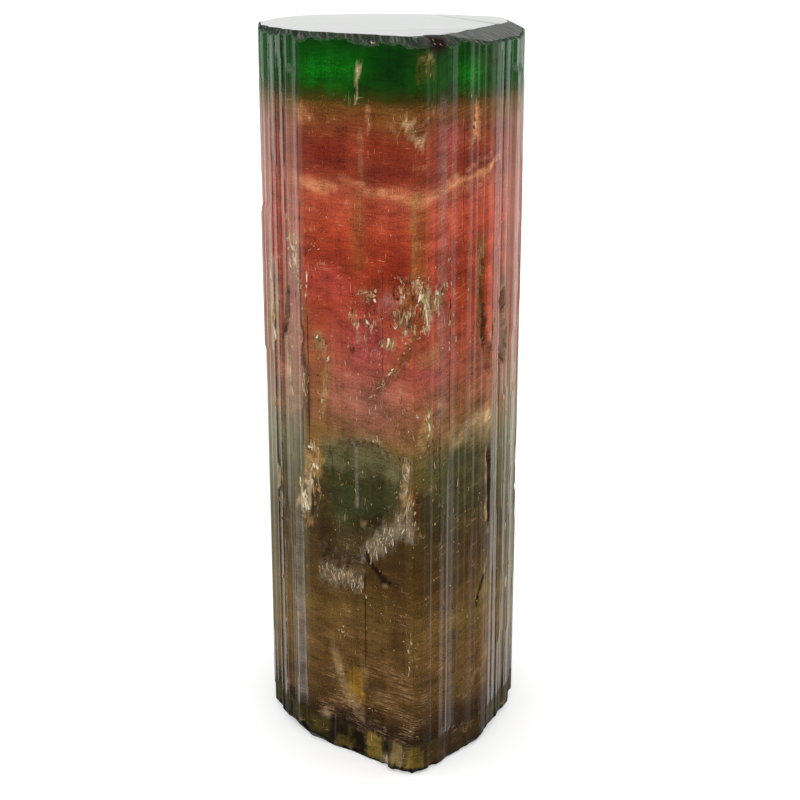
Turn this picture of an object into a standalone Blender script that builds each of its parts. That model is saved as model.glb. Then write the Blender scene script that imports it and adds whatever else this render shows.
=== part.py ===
# A natural tourmaline crystal: one tall prism with fine ridges down its sides.
# It stands on its foot. The front of the photograph is towards minus Y.
# Sizes are in millimetres until the finished mesh is scaled to metres.
import math
import random

import bmesh
import bpy
from mathutils import Matrix, Vector

# Driving sizes
HEIGHT = 60.0
TOP_SCALE = 0.993
STONE_COLOUR = (0.30, 0.10, 0.06, 1.0)
STONE_ROUGHNESS = 0.22
METRES = 0.001

# Cross-section at the foot, counter-clockwise seen from above, from the front edge.
# Each row is a corner, then how many growth ridges its face has and how deep they are.
FACES = (
    (2.35, -12.70, 1, 0.00),
    (3.40, -11.62, 7, 0.10),
    (8.10, -6.90, 3, 0.26),
    (9.40, -3.60, 3, 0.26),
    (10.55, -0.90, 4, 0.22),
    (10.95, 3.40, 3, 0.20),
    (10.30, 7.20, 3, 0.22),
    (8.50, 9.90, 4, 0.18),
    (4.60, 12.30, 5, 0.14),
    (-1.90, 12.85, 5, 0.14),
    (-7.60, 11.50, 3, 0.22),
    (-9.90, 7.60, 3, 0.20),
    (-10.95, 3.30, 3, 0.20),
    (-10.35, -1.00, 2, 0.22),
    (-9.50, -3.20, 2, 0.26),
    (-8.30, -5.00, 2, 0.26),
    (-6.90, -6.90, 9, 0.09),
)
RIDGE_SLOPE = 0.09
CENTRE_Y = -0.077

# Broken top corner: two points of its inner edge on the top face, and its slope
BREAK_START = (4.2, -10.3)
BREAK_END = (10.3, 5.6)
BREAK_SLOPE = 0.33
BREAK_SPAN = (-4.0, 22.0)
BREAK_REACH = 12.0
BREAK_COVER = 2.0

# How far the cutting shapes stand out of the face, and where a scar's wall begins
TOOL_REACH = 0.6
SCAR_LIP = 0.02
EDGE_REACH = 1.2
EDGE_INNER = 1.3
EDGE_MARGIN = 0.3
LEDGE_ROOT = 0.5
CORNER_BLEND = 0.2

corner_list = [Vector((row[0], row[1])) for row in FACES]
face_lengths = [
    (corner_list[(k + 1) % len(FACES)] - corner_list[k]).length for k in range(len(FACES))
]
GIRTH = sum(face_lengths)


def on_outline(along):
    """Point and outward direction at this distance along the foot's outline."""
    rest = along % GIRTH
    k = 0
    while rest > face_lengths[k]:
        rest -= face_lengths[k]
        k = (k + 1) % len(FACES)
    start = corner_list[k]
    step = (corner_list[(k + 1) % len(FACES)] - start).normalized()
    return start + step * rest, Vector((step.y, -step.x))


def on_side(along, height, out):
    """Point this far out from the side face, at this height."""
    point, outward = on_outline(along)
    scale = 1.0 + (TOP_SCALE - 1.0) * height / HEIGHT
    point = point * scale + outward * out
    return Vector((point.x, point.y, height))


def ridged_outline():
    """The foot's outline with the flat growth ridges stepped into each face."""
    chance = random.Random(7)
    points = []
    for k, (x, y, ridges, relief) in enumerate(FACES):
        start = corner_list[k]
        end = corner_list[(k + 1) % len(FACES)]
        length = (end - start).length
        step = (end - start) / length
        outward = Vector((step.y, -step.x))
        weights = [0.6 + chance.random() for _ in range(ridges)]
        reach = 0.0
        for n, weight in enumerate(weights):
            width = length * weight / sum(weights)
            sunk = relief * chance.random() if n % 2 else 0.0
            low = reach + (RIDGE_SLOPE if n else 0.0)
            high = reach + width - (RIDGE_SLOPE if n < ridges - 1 else 0.0)
            points.append(start + step * low - outward * sunk)
            if n < ridges - 1:
                points.append(start + step * high - outward * sunk)
            elif sunk > 0.0:
                points.append(start + step * (high - RIDGE_SLOPE) - outward * sunk)
            reach += width
    return points


def solid_from_rings(name, rings):
    """Closed solid through rings of points, each ring capped flat at the ends."""
    shape = bmesh.new()
    rows = [[shape.verts.new(point) for point in ring] for ring in rings]
    count = len(rings[0])
    for low, high in zip(rows, rows[1:]):
        for n in range(count):
            shape.faces.new((low[n], low[(n + 1) % count], high[(n + 1) % count], high[n]))
    shape.faces.new(list(reversed(rows[0])))
    shape.faces.new(rows[-1])
    bmesh.ops.triangulate(shape, faces=shape.faces[:])
    bmesh.ops.recalc_face_normals(shape, faces=shape.faces[:])
    mesh = bpy.data.meshes.new(name)
    shape.to_mesh(mesh)
    shape.free()
    made = bpy.data.objects.new(name, mesh)
    bpy.context.scene.collection.objects.link(made)
    return made


def combine(stone, tool, operation):
    """Cut the stone with a tool shape, or join the tool to it, and drop the tool."""
    change = stone.modifiers.new("change", "BOOLEAN")
    change.solver = "EXACT"
    change.operation = operation
    change.object = tool
    graph = bpy.context.evaluated_depsgraph_get()
    result = bpy.data.meshes.new_from_object(stone.evaluated_get(graph))
    stone.modifiers.clear()
    stone.data = result
    bpy.data.objects.remove(tool)


def scar_tool(edge, depth, floor_share):
    """Shape of a shallow scar: its edge in (along, height), its depth, its floor's share."""
    middle_along = sum(point[0] for point in edge) / len(edge)
    middle_height = sum(point[1] for point in edge) / len(edge)
    outer = [on_side(along, height, TOOL_REACH) for along, height in edge]
    rim = [on_side(along, height, SCAR_LIP) for along, height in edge]
    floor = [
        on_side(
            middle_along + (along - middle_along) * floor_share,
            middle_height + (height - middle_height) * floor_share,
            -depth,
        )
        for along, height in edge
    ]
    return solid_from_rings("scar_tool", [floor, rim, outer])


def outward_at(along):
    """Outward direction, shared between two faces at their corner."""
    before = on_outline(along - CORNER_BLEND)[1]
    after = on_outline(along + CORNER_BLEND)[1]
    return (before + after).normalized()


def spread(stations, along):
    """Depth and height of a broken edge between its given stations."""
    for first, second in zip(stations, stations[1:]):
        if first[0] <= along <= second[0]:
            share = (along - first[0]) / (second[0] - first[0])
            return tuple(first[n] + (second[n] - first[n]) * share for n in (1, 2))
    return stations[0][1:]


def broken_edge_tool(stations, level, direction):
    """Ring that breaks an end's sharp edge: stations are (along, depth, height)."""
    start = stations[0][0]
    closing = (start + GIRTH,) + stations[0][1:]
    stations = tuple(stations) + (closing,)
    places = {round(station[0], 3) for station in stations[:-1]}
    reach = 0.0
    for length in face_lengths:
        places.add(round(start + (reach - start) % GIRTH, 3))
        reach += length
    shape = bmesh.new()
    rows = []
    for along in sorted(places):
        depth, height = spread(stations, along)
        point, _ = on_outline(along)
        outward = outward_at(along)
        scale = TOP_SCALE if level > 0.0 else 1.0
        row = []
        for out, up in (
            (-EDGE_INNER * depth, EDGE_MARGIN * height),
            (EDGE_REACH, -height * (1.0 + EDGE_REACH / depth)),
            (EDGE_REACH, EDGE_MARGIN * height),
        ):
            spot = point * scale + outward * out
            row.append(shape.verts.new((spot.x, spot.y, level + direction * up)))
        rows.append(row)
    for low, high in zip(rows, rows[1:] + rows[:1]):
        for n in range(3):
            shape.faces.new((low[n], low[(n + 1) % 3], high[(n + 1) % 3], high[n]))
    bmesh.ops.triangulate(shape, faces=shape.faces[:])
    bmesh.ops.recalc_face_normals(shape, faces=shape.faces[:])
    mesh = bpy.data.meshes.new("edge_tool")
    shape.to_mesh(mesh)
    shape.free()
    made = bpy.data.objects.new("edge_tool", mesh)
    bpy.context.scene.collection.objects.link(made)
    return made


# Start from an empty scene
for old in list(bpy.data.objects):
    bpy.data.objects.remove(old)

# The prism
foot_ring = [Vector((point.x, point.y, 0.0)) for point in ridged_outline()]
top_ring = [
    Vector((point.x * TOP_SCALE, point.y * TOP_SCALE, HEIGHT)) for point in foot_ring
]
stone = solid_from_rings("tourmaline_crystal", [foot_ring, top_ring])

# Raised ledges, each with its span along the outline, its span in height and its rise
LEDGES = (
    (-18.6, -15.6, 34.0, 45.5, 0.14),
    (11.8, 14.6, 8.0, 30.5, 0.10),
    (13.2, 15.6, 35.5, 57.0, 0.12),
    (-14.8, -13.4, 2.0, 20.5, 0.10),
    (-12.4, -10.9, 12.0, 57.0, 0.10),
    (2.2, 3.6, 5.0, 26.0, 0.09),
    (4.9, 6.0, 28.0, 55.0, 0.08),
    (-7.6, -6.2, 29.0, 57.5, 0.08),
    (24.0, 27.5, 14.0, 41.0, 0.15),
    (33.0, 35.0, 4.0, 52.0, 0.12),
    (40.0, 43.5, 22.0, 55.0, 0.14),
    (46.0, 48.5, 6.0, 33.0, 0.15),
)
for low, high, bottom, top, rise in LEDGES:
    ring = [(low, bottom), (high, bottom + 0.3), (high - 0.1, top - 0.5), (low + 0.1, top)]
    inner = [on_side(along, height, -LEDGE_ROOT) for along, height in ring]
    outer = [on_side(along, height, rise) for along, height in ring]
    combine(stone, solid_from_rings("ledge_tool", [inner, outer]), "UNION")

# Scars, cracks and gaps: depth, the floor's share of the edge, then the edge itself
# as (along the outline, height)
SCARS = (
    # recess in the lower middle
    (0.55, 0.82, (
        (-9.9, 19.4), (-9.2, 21.2), (-9.3, 24.6), (-8.6, 27.6), (-6.4, 28.2), (-4.6, 28.7),
        (-2.0, 28.0), (-1.1, 26.0), (-1.4, 23.6), (-2.8, 22.0), (-4.2, 20.2), (-5.0, 18.2),
        (-6.6, 17.2), (-9.2, 17.6),
    )),
    # crust pocket left of the recess
    (0.28, 0.6, ((-11.9, 20.4), (-9.7, 20.2), (-9.4, 22.6), (-9.6, 26.5), (-10.3, 26.3), (-10.9, 23.6))),
    # splintered edge right of the recess
    (0.3, 0.55, ((-1.3, 21.2), (0.4, 21.0), (0.5, 24.5), (-0.2, 27.8), (-1.0, 27.6), (-1.2, 24.0))),
    # diagonal chipped crack
    (0.3, 0.5, (
        (0.1, 37.9), (-0.3, 36.4), (-1.6, 34.6), (-3.3, 32.4), (-3.9, 32.2), (-2.4, 34.4),
        (-0.9, 36.6),
    )),
    # three chips above the crack
    (0.22, 0.7, ((-2.6, 39.6), (-1.3, 41.9), (-0.3, 42.5), (0.2, 40.6), (-0.2, 38.2), (-1.6, 38.0))),
    (0.18, 0.6, ((-4.2, 40.1), (-3.2, 39.2), (-3.1, 36.4), (-4.0, 35.6), (-4.6, 37.8))),
    (0.2, 0.6, ((0.4, 40.9), (3.5, 41.4), (2.9, 40.2), (1.8, 38.9), (1.2, 39.9))),
    # dark gap between the right strips
    (0.55, 0.7, ((11.3, 39.9), (11.2, 33.5), (12.2, 33.3), (13.0, 34.6), (12.6, 36.6), (11.7, 39.7))),
    # rough line down the right face, the pit at its end and the hollow below
    (0.3, 0.5, ((7.1, 42.8), (7.7, 42.6), (7.8, 38.0), (8.2, 36.2), (7.5, 35.4), (7.2, 38.5))),
    (0.45, 0.6, ((7.7, 36.2), (9.2, 35.6), (9.4, 34.4), (8.6, 33.2), (7.8, 33.4))),
    (0.4, 0.6, ((8.0, 26.8), (8.9, 27.2), (9.6, 24.6), (9.5, 20.4), (8.3, 20.0), (8.1, 23.0))),
    # gaps between the left strips
    (0.4, 0.5, ((-13.8, 35.9), (-13.1, 36.2), (-12.5, 39.6), (-12.9, 39.7))),
    (0.3, 0.5, ((-11.2, 30.2), (-10.4, 30.0), (-10.5, 36.8), (-11.0, 37.2))),
    (0.25, 0.6, ((-16.4, 22.4), (-14.4, 21.9), (-14.2, 23.6), (-15.2, 24.2), (-16.5, 23.9))),
    # slits in the lower part
    (0.45, 0.6, ((-4.7, 18.9), (-4.2, 19.0), (-2.2, 17.1), (-2.6, 16.8))),
    (0.25, 0.6, ((-4.9, 8.6), (-4.55, 8.6), (-4.5, 16.6), (-4.9, 16.4))),
    (0.25, 0.6, ((7.2, 13.8), (8.2, 16.4), (8.6, 16.6), (7.7, 13.9))),
    # crushed zone under the recess and worn patch above the foot
    (0.16, 0.8, ((-9.4, 15.2), (-5.2, 15.4), (-4.8, 17.2), (-7.6, 16.9), (-9.2, 17.3))),
    (0.12, 0.8, ((-7.6, 5.2), (-5.0, 4.6), (-4.9, 8.2), (-7.2, 8.4))),
    # flake in the pink part
    (0.25, 0.6, ((6.1, 52.3), (6.8, 52.4), (7.0, 54.6), (6.6, 54.8), (6.2, 53.8))),
    # scars at the sides and on the back, which the photograph doesn't show
    (0.4, 0.6, ((17.2, 20.0), (18.6, 19.2), (18.9, 27.0), (18.0, 31.5), (17.4, 26.0))),
    (0.35, 0.6, ((21.0, 38.0), (22.2, 37.5), (22.4, 44.0), (21.4, 46.5))),
    (0.45, 0.75, ((28.0, 17.0), (30.2, 15.2), (31.6, 18.6), (31.2, 24.0), (29.4, 26.8), (28.2, 22.0))),
    (0.3, 0.75, ((34.6, 36.0), (37.0, 34.2), (38.6, 37.0), (37.8, 42.6), (35.6, 43.2))),
    (0.3, 0.6, ((40.5, 9.0), (41.5, 8.6), (41.8, 16.5), (41.0, 18.0))),
    (0.4, 0.6, ((44.4, 30.0), (45.8, 29.0), (46.2, 35.6), (45.2, 39.0), (44.6, 35.0))),
    (0.35, 0.6, ((50.0, 12.0), (51.4, 11.0), (51.8, 19.0), (50.6, 22.5))),
    (0.3, 0.6, ((53.2, 42.0), (54.4, 41.2), (54.6, 48.0), (53.6, 50.5))),
)
for depth, share, edge in SCARS:
    combine(stone, scar_tool(edge, depth, share), "DIFFERENCE")

# Pleats of the foot band: span along the outline, top of the pleat and its depth
PLEAT_BELOW = 0.5
PLEAT_SKEW = 0.2
PLEATS = (
    (-9.3, -8.0, 2.6, 0.10),
    (-7.4, -6.6, 2.9, 0.16),
    (-6.2, -5.1, 2.4, 0.30),
    (-4.3, -3.8, 2.8, 0.14),
    (-2.9, -2.3, 2.5, 0.26),
    (-1.5, -1.1, 2.9, 0.12),
    (-0.4, 0.1, 2.8, 0.14),
    (1.5, 2.3, 2.4, 0.16),
    (3.4, 4.2, 2.6, 0.10),
    (5.6, 6.2, 2.2, 0.14),
)
for low, high, top, depth in PLEATS:
    edge = ((low, -PLEAT_BELOW), (high, -PLEAT_BELOW), (high, top - PLEAT_SKEW), (low, top))
    outer = [on_side(along, height, TOOL_REACH) for along, height in edge]
    floor = [on_side(along, height, -depth) for along, height in edge]
    combine(stone, solid_from_rings("pleat_tool", [floor, outer]), "DIFFERENCE")

# Broken rim of the top, all the way round, deeper along the front
RIM_START = -20.0
RIM_FRONT = -4.0
RIM_SPREAD = 9.0
RIM_DEPTH = (0.16, 0.34, 0.16)
RIM_HEIGHT = (0.12, 0.36, 0.20)
RIM_STEP = (0.9, 0.9)
rim_chance = random.Random(21)
rim_stations = []
along = RIM_START
while along < GIRTH + RIM_START - RIM_STEP[0]:
    front = math.exp(-(((along - RIM_FRONT) / RIM_SPREAD) ** 2))
    depth = RIM_DEPTH[0] + RIM_DEPTH[1] * front + RIM_DEPTH[2] * rim_chance.random()
    height = RIM_HEIGHT[0] + RIM_HEIGHT[1] * front + RIM_HEIGHT[2] * rim_chance.random()
    rim_stations.append((along, depth, height))
    along += RIM_STEP[0] + RIM_STEP[1] * rim_chance.random()
combine(stone, broken_edge_tool(rim_stations, HEIGHT, 1.0), "DIFFERENCE")

# Chip hole in the front rim
CHIP_EDGE = ((1.3, 59.2), (3.0, 59.1), (3.1, 60.4), (1.2, 60.5))
combine(stone, scar_tool(CHIP_EDGE, 0.9, 0.75), "DIFFERENCE")

# Broken edge of the foot, deeper at the left and right corners
FOOT_STATIONS = (
    (-17.4, 0.50, 0.55), (-14.6, 0.60, 0.70), (-12.0, 0.55, 0.75), (-9.6, 0.45, 0.45),
    (-8.2, 0.20, 0.18), (-6.4, 0.34, 0.30), (-4.6, 0.18, 0.16), (-3.2, 0.16, 0.12),
    (-2.3, 0.30, 0.30), (-1.0, 0.18, 0.14), (0.0, 0.34, 0.40), (1.2, 0.16, 0.14),
    (3.6, 0.20, 0.20), (6.2, 0.28, 0.26), (8.0, 0.40, 0.50), (10.2, 0.55, 0.70),
    (13.0, 0.50, 0.60), (16.6, 0.45, 0.50), (21.0, 0.30, 0.30), (26.0, 0.40, 0.36),
    (31.0, 0.24, 0.22), (36.5, 0.34, 0.30), (42.0, 0.26, 0.24), (47.0, 0.40, 0.40),
    (52.0, 0.34, 0.30),
)
combine(stone, broken_edge_tool(FOOT_STATIONS, 0.0, -1.0), "DIFFERENCE")

# Broken top corner at the right front: everything above one sloping plane
start = Vector(BREAK_START)
run = (Vector(BREAK_END) - start).normalized()
downhill = Vector((run.y, -run.x))
plane_ring = []
cover_ring = []
low, high = BREAK_SPAN
for along, reach in ((low, 0.0), (high, 0.0), (high, BREAK_REACH), (low, BREAK_REACH)):
    spot = start + run * along + downhill * reach
    plane_ring.append(Vector((spot.x, spot.y, HEIGHT - BREAK_SLOPE * reach)))
    cover_ring.append(Vector((spot.x, spot.y, HEIGHT + BREAK_COVER)))
combine(stone, solid_from_rings("corner_tool", [plane_ring, cover_ring]), "DIFFERENCE")

# Centre the outline, scale to metres and give the stone its material
stone.data.transform(Matrix.Translation((0.0, CENTRE_Y, 0.0)))
stone.data.transform(Matrix.Scale(METRES, 4))
stone.data.materials.clear()
finish = bpy.data.materials.new("tourmaline")
finish.use_nodes = True
shader = finish.node_tree.nodes["Principled BSDF"]
shader.inputs["Base Color"].default_value = STONE_COLOUR
shader.inputs["Roughness"].default_value = STONE_ROUGHNESS
shader.inputs["Metallic"].default_value = 0.0
stone.data.materials.append(finish)
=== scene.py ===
import math
import random

import bmesh
import bpy
import numpy as np
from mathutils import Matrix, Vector
from mathutils.geometry import delaunay_2d_cdt


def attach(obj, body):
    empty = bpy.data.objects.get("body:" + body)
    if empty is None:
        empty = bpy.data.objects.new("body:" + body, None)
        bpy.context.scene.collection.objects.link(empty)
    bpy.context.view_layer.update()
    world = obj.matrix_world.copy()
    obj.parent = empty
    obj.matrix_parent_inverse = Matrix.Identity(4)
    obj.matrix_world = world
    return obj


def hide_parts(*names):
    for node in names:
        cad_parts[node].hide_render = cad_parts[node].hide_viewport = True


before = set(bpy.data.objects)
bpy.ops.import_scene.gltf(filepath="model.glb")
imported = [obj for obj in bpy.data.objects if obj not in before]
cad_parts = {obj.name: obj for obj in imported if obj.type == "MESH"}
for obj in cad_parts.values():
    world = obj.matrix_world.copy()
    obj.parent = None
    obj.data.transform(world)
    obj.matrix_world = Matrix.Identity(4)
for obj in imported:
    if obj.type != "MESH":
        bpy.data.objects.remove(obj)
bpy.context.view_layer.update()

# The stone's sides: a natural tourmaline prism, rounded three-sided in section.
# It grew as one piece, and its flat faces meet in blunt corners, stepped with ridges.
# Each row is a corner in millimetres, its face's ridges and their depth.
MM = 0.001
HEIGHT = 60.0
TOP_SCALE = 0.993
CENTRE_Y = -0.077
FACES = (
    (2.35, -12.7, 1, 0), (3.4, -11.62, 7, 0.1), (8.1, -6.9, 3, 0.26), (9.4, -3.6, 3, 0.26), (10.55, -0.9, 4, 0.22),
    (10.95, 3.4, 3, 0.2), (10.3, 7.2, 3, 0.22), (8.5, 9.9, 4, 0.18), (4.6, 12.3, 5, 0.14), (-1.9, 12.85, 5, 0.14),
    (-7.6, 11.5, 3, 0.22), (-9.9, 7.6, 3, 0.2), (-10.95, 3.3, 3, 0.2), (-10.35, -1, 2, 0.22), (-9.5, -3.2, 2, 0.26),
    (-8.3, -5, 2, 0.26), (-6.9, -6.9, 9, 0.09),
)
RIDGE_SLOPE = 0.09
CORNER_BLEND = 0.35

corners = np.array([(row[0], row[1] + CENTRE_Y) for row in FACES])
face_steps = np.roll(corners, -1, axis=0) - corners
face_lengths = np.linalg.norm(face_steps, axis=1)
reaches = np.concatenate(([0.0], np.cumsum(face_lengths)))
GIRTH = float(reaches[-1])


def on_outline(along):
    """Points on the foot's outline and the outward directions of their faces."""
    rest = np.mod(along, GIRTH)
    face = np.clip(np.searchsorted(reaches, rest, side="right") - 1, 0, len(FACES) - 1)
    share = (rest - reaches[face]) / face_lengths[face]
    places = corners[face] + face_steps[face] * share[..., None]
    step = face_steps[face] / face_lengths[face][..., None]
    return places, np.stack([step[..., 1], -step[..., 0]], -1)


def outward_at(along):
    """Outward directions, turning evenly from one face to the next at the corners."""
    blended = on_outline(along - CORNER_BLEND)[1] + on_outline(along + CORNER_BLEND)[1]
    return blended / np.linalg.norm(blended, axis=-1)[..., None]


# Thin grooves between the strips of the sides: place along the outline, lowest and
# highest point, half width, depth, and how much painted shade lies in the groove
GROOVES = (
    (-17.45, 1, 59, 0.05, 0.05, 0.3), (-16.05, 1, 59.6, 0.07, 0.1, 0.9), (-15.2, 1, 59, 0.06, 0.07, 0.7),
    (-14.2, 1, 59.6, 0.06, 0.07, 0.6), (-13.6, 3, 58, 0.05, 0.06, 0.6), (-13, 34, 59.6, 0.09, 0.11, 1),
    (-12.62, 1, 44, 0.06, 0.06, 0.6), (-10.85, 1, 59, 0.06, 0.07, 0.5), (-10.2, 20, 38, 0.07, 0.08, 0.7),
    (-8.35, 24, 34.5, 0.06, 0.05, 0.5), (-6.15, 3, 13.5, 0.05, 0.03, 0.4), (-4.72, 8.4, 17.2, 0.08, 0.12, 1),
    (-2.9, 34, 42, 0.05, 0.05, 0.5), (-0.95, 21, 28, 0.06, 0.1, 0.8), (0.12, 8, 20.5, 0.05, 0.04, 0.5),
    (0.75, 38, 53, 0.06, 0.04, 0.3), (2.6, 20, 30, 0.05, 0.04, 0.5), (3.72, 29, 40, 0.06, 0.09, 1),
    (5.1, 44.4, 53.4, 0.06, 0.09, 1), (6.4, 42, 44, 0.05, 0.04, 0.6), (7.45, 35.6, 43, 0.07, 0.1, 1),
    (8.6, 1, 20, 0.05, 0.06, 0.4), (9.45, 1, 59, 0.06, 0.06, 0.5), (10.35, 1, 58.6, 0.07, 0.1, 0.9),
    (11.45, 1, 58.4, 0.07, 0.1, 0.9), (12.15, 1, 40, 0.06, 0.08, 0.8), (12.7, 12, 58, 0.06, 0.09, 0.9),
    (13.75, 1, 57.6, 0.07, 0.1, 0.9), (14.6, 1, 57, 0.06, 0.08, 0.6), (16.1, 1, 58, 0.07, 0.08, 0.6),
    (19.6, 2, 58, 0.08, 0.08, 0.6), (23.2, 6, 52, 0.08, 0.08, 0.7), (29.4, 10, 44, 0.08, 0.08, 0.8),
    (34.2, 1, 57, 0.08, 0.08, 0.6), (39.1, 20, 58, 0.08, 0.08, 0.8), (43.8, 1, 38, 0.08, 0.08, 0.7),
    (47.9, 5, 57, 0.08, 0.08, 0.6), (52.6, 1, 50, 0.08, 0.08, 0.7),
)

# Columns of points run up the stone, closest together on the photographed side and
# at the grooves. Rows are closest at the rim and at the foot, where the chips are.
SEAM = -19.0
FRONT_END = 17.6
FRONT_STEP = 0.165
BACK_COLUMNS = 108
LEAST_STEP = 0.035
front_columns = np.arange(SEAM, FRONT_END, FRONT_STEP)
back_columns = np.linspace(front_columns[-1], GIRTH + SEAM, BACK_COLUMNS + 2)[1:-1]
groove_columns = []
for place, low, high, half, depth, groove_shade in GROOVES:
    groove_columns += [place - half, place, place + half]
plain_columns = np.concatenate((front_columns, back_columns))
gaps = np.abs(plain_columns[:, None] - np.array(groove_columns)[None, :]).min(axis=1)
columns = np.sort(np.concatenate((plain_columns[gaps > LEAST_STEP], groove_columns)))
ROW_BANDS = ((0.0, 3.0, 20), (3.0, 58.6, 174), (58.6, HEIGHT, 12))
rows = np.concatenate([np.linspace(*band)[:-1] for band in ROW_BANDS] + [[HEIGHT]])
S, Z = np.meshgrid(columns, rows)
CELLS = 97


def lattice_noise(across, up, across_size, up_size, seed):
    """Smooth random values from -1 to 1, with cells of these sizes in millimetres."""
    cells = np.random.RandomState(seed).uniform(-1.0, 1.0, (CELLS, CELLS))
    u = across / across_size + 31.0
    v = up / up_size + 17.0
    u0 = np.floor(u).astype(int)
    v0 = np.floor(v).astype(int)
    fu = u - u0
    fv = v - v0
    fu = fu * fu * (3.0 - 2.0 * fu)
    fv = fv * fv * (3.0 - 2.0 * fv)
    a = cells[u0 % CELLS, v0 % CELLS]
    b = cells[(u0 + 1) % CELLS, v0 % CELLS]
    c = cells[u0 % CELLS, (v0 + 1) % CELLS]
    d = cells[(u0 + 1) % CELLS, (v0 + 1) % CELLS]
    return (a * (1 - fu) + b * fu) * (1 - fv) + (c * (1 - fu) + d * fu) * fv


def soft_step(low, high, value):
    """0 below low, 1 above high, and a smooth rise between them."""
    share = np.clip((value - low) / (high - low), 0.0, 1.0)
    return share * share * (3.0 - 2.0 * share)


def between(low, high, edge, value):
    """1 from low to high, with a smooth edge this wide to each side of both ends."""
    return soft_step(low - edge, low + edge, value) * (1 - soft_step(high - edge, high + edge, value))


# Growth ridges: the same steps as the solid's, with finer laths laid over them
chance = random.Random(7)
ridge_places = []
ridge_sinks = []
for k, (x, y, ridges, relief) in enumerate(FACES):
    weights = [0.6 + chance.random() for _ in range(ridges)]
    reach = 0.0
    for n, weight in enumerate(weights):
        width = face_lengths[k] * weight / sum(weights)
        sunk = relief * chance.random() if n % 2 else 0.0
        low = reach + (RIDGE_SLOPE if n else 0.0)
        high = reach + width - RIDGE_SLOPE
        ridge_places += [reaches[k] + low, reaches[k] + high]
        ridge_sinks += [sunk, sunk]
        reach += width
ridge_profile = np.interp(np.mod(columns, GIRTH), ridge_places, ridge_sinks, period=GIRTH)
out = np.broadcast_to(-ridge_profile, S.shape).copy()

# The narrow faces at the corners are strips, with closer and deeper laths
strips = soft_step(8.4, 9.4, S) * (1 - soft_step(27.0, 29.0, S)) + soft_step(41.0, 43.0, S)
strips = np.clip(strips + 1 - soft_step(-11.0, -10.5, S), 0.0, 1.0)
LATHS = 360
LATH_EDGE = 0.10
lath_chance = random.Random(33)
for _ in range(LATHS):
    middle = SEAM + GIRTH * lath_chance.random()
    width = 0.22 + 0.9 * lath_chance.random() ** 2
    length = 8.0 + 70.0 * lath_chance.random()
    centre = 60.0 * lath_chance.random()
    rise = (0.012 + 0.038 * lath_chance.random()) * lath_chance.choice((-1.0, 1.0, -1.0))
    lath = 1 - soft_step(width / 2, width / 2 + LATH_EDGE, np.abs(S - middle))
    lath *= 1 - soft_step(length / 2 - 0.8, length / 2, np.abs(Z - centre))
    out += lath * rise * (0.35 + 1.2 * strips)

GROOVE_FADE = 0.4
# Painted shade along the grooves, cracks, slits and the rim's chip hole, kept for the shader
crack_shade = np.zeros(S.shape)
for n, (place, low, high, half, depth, groove_shade) in enumerate(GROOVES):
    groove = np.clip(1 - np.abs(S - place) / half, 0.0, 1.0)
    groove *= between(low, high, GROOVE_FADE, Z + 0.7 * lattice_noise(S * 0, Z, 1.0, 2.0, 60 + n))
    breaks = soft_step(-0.75, -0.25, lattice_noise(S * 0, Z, 1.0, 1.4, 110 + n))
    out -= depth * groove * breaks
    crack_shade = np.maximum(crack_shade, groove_shade * groove * breaks)

# Raised ledges: strips of later growth standing a little proud of the faces
LEDGES = (
    (-18.6, -15.6, 34, 45.5, 0.14), (11.8, 14.6, 8, 30.5, 0.1), (13.2, 15.6, 35.5, 57, 0.12),
    (-14.8, -13.4, 2, 20.5, 0.1), (-12.4, -10.9, 12, 57, 0.1), (2.2, 3.6, -2, 26, 0.06), (4.9, 6, 28, 64, 0.05),
    (-7.6, -6.2, 29, 64, 0.05), (24, 27.5, 14, 41, 0.15), (33, 35, 4, 52, 0.12), (40, 43.5, 22, 55, 0.14),
    (46, 48.5, 6, 33, 0.15),
)
LOW_LEDGE = 0.07
LEDGE_EDGE = 0.05
LEDGE_END, LOW_LEDGE_END = 0.15, 2.0
ledge_z = Z + 0.5 * lattice_noise(S, Z, 0.5, 3.0, 5)
for low, high, bottom, top, rise in LEDGES:
    ledge = between(low, high, LEDGE_EDGE, S)
    ledge *= between(bottom, top, LOW_LEDGE_END if rise < LOW_LEDGE else LEDGE_END, ledge_z)
    out += ledge * rise

# The front corner is blunt: the right face swells out beside it, and at the foot the left
FRONT_SWELL = ((-1.0, 0.0), (0.0, 0.0), (0.8, 0.44), (7.8, 0.0), (9.0, 0.0))
FOOT_SWELL = ((-3.4, 0.0), (-2.7, 0.30), (-1.8, 0.62), (-0.5, 0.26), (0.0, 0.0))
out += np.interp(S, *zip(*FRONT_SWELL))
out += np.interp(S, *zip(*FOOT_SWELL)) * (1 - soft_step(0.8, 4.5, Z))
FAR = 1e9


def pairs(numbers):
    """Points from a flat row of numbers: place along the outline, height, and so on."""
    return list(zip(numbers[::2], numbers[1::2]))


def gap_to(ax, ay, bx, by, across, up):
    """Distance from each place to the straight line between two points."""
    dx, dy = bx - ax, by - ay
    share = np.clip(((across - ax) * dx + (up - ay) * dy) / (dx * dx + dy * dy), 0, 1)
    return np.hypot(across - ax - share * dx, up - ay - share * dy)


def inside_depth(edge, across, up):
    """Distance in from a closed edge, negative outside it, in millimetres."""
    nearest = np.full(np.shape(across), FAR)
    inside = np.zeros(np.shape(across), bool)
    for (ax, ay), (bx, by) in zip(edge, edge[1:] + edge[:1]):
        nearest = np.minimum(nearest, gap_to(ax, ay, bx, by, across, up))
        if ay != by:
            crossing = (ay > up) != (by > up)
            inside ^= crossing & (across < (bx - ax) * (up - ay) / (by - ay) + ax)
    return np.where(inside, nearest, -nearest)


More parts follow.
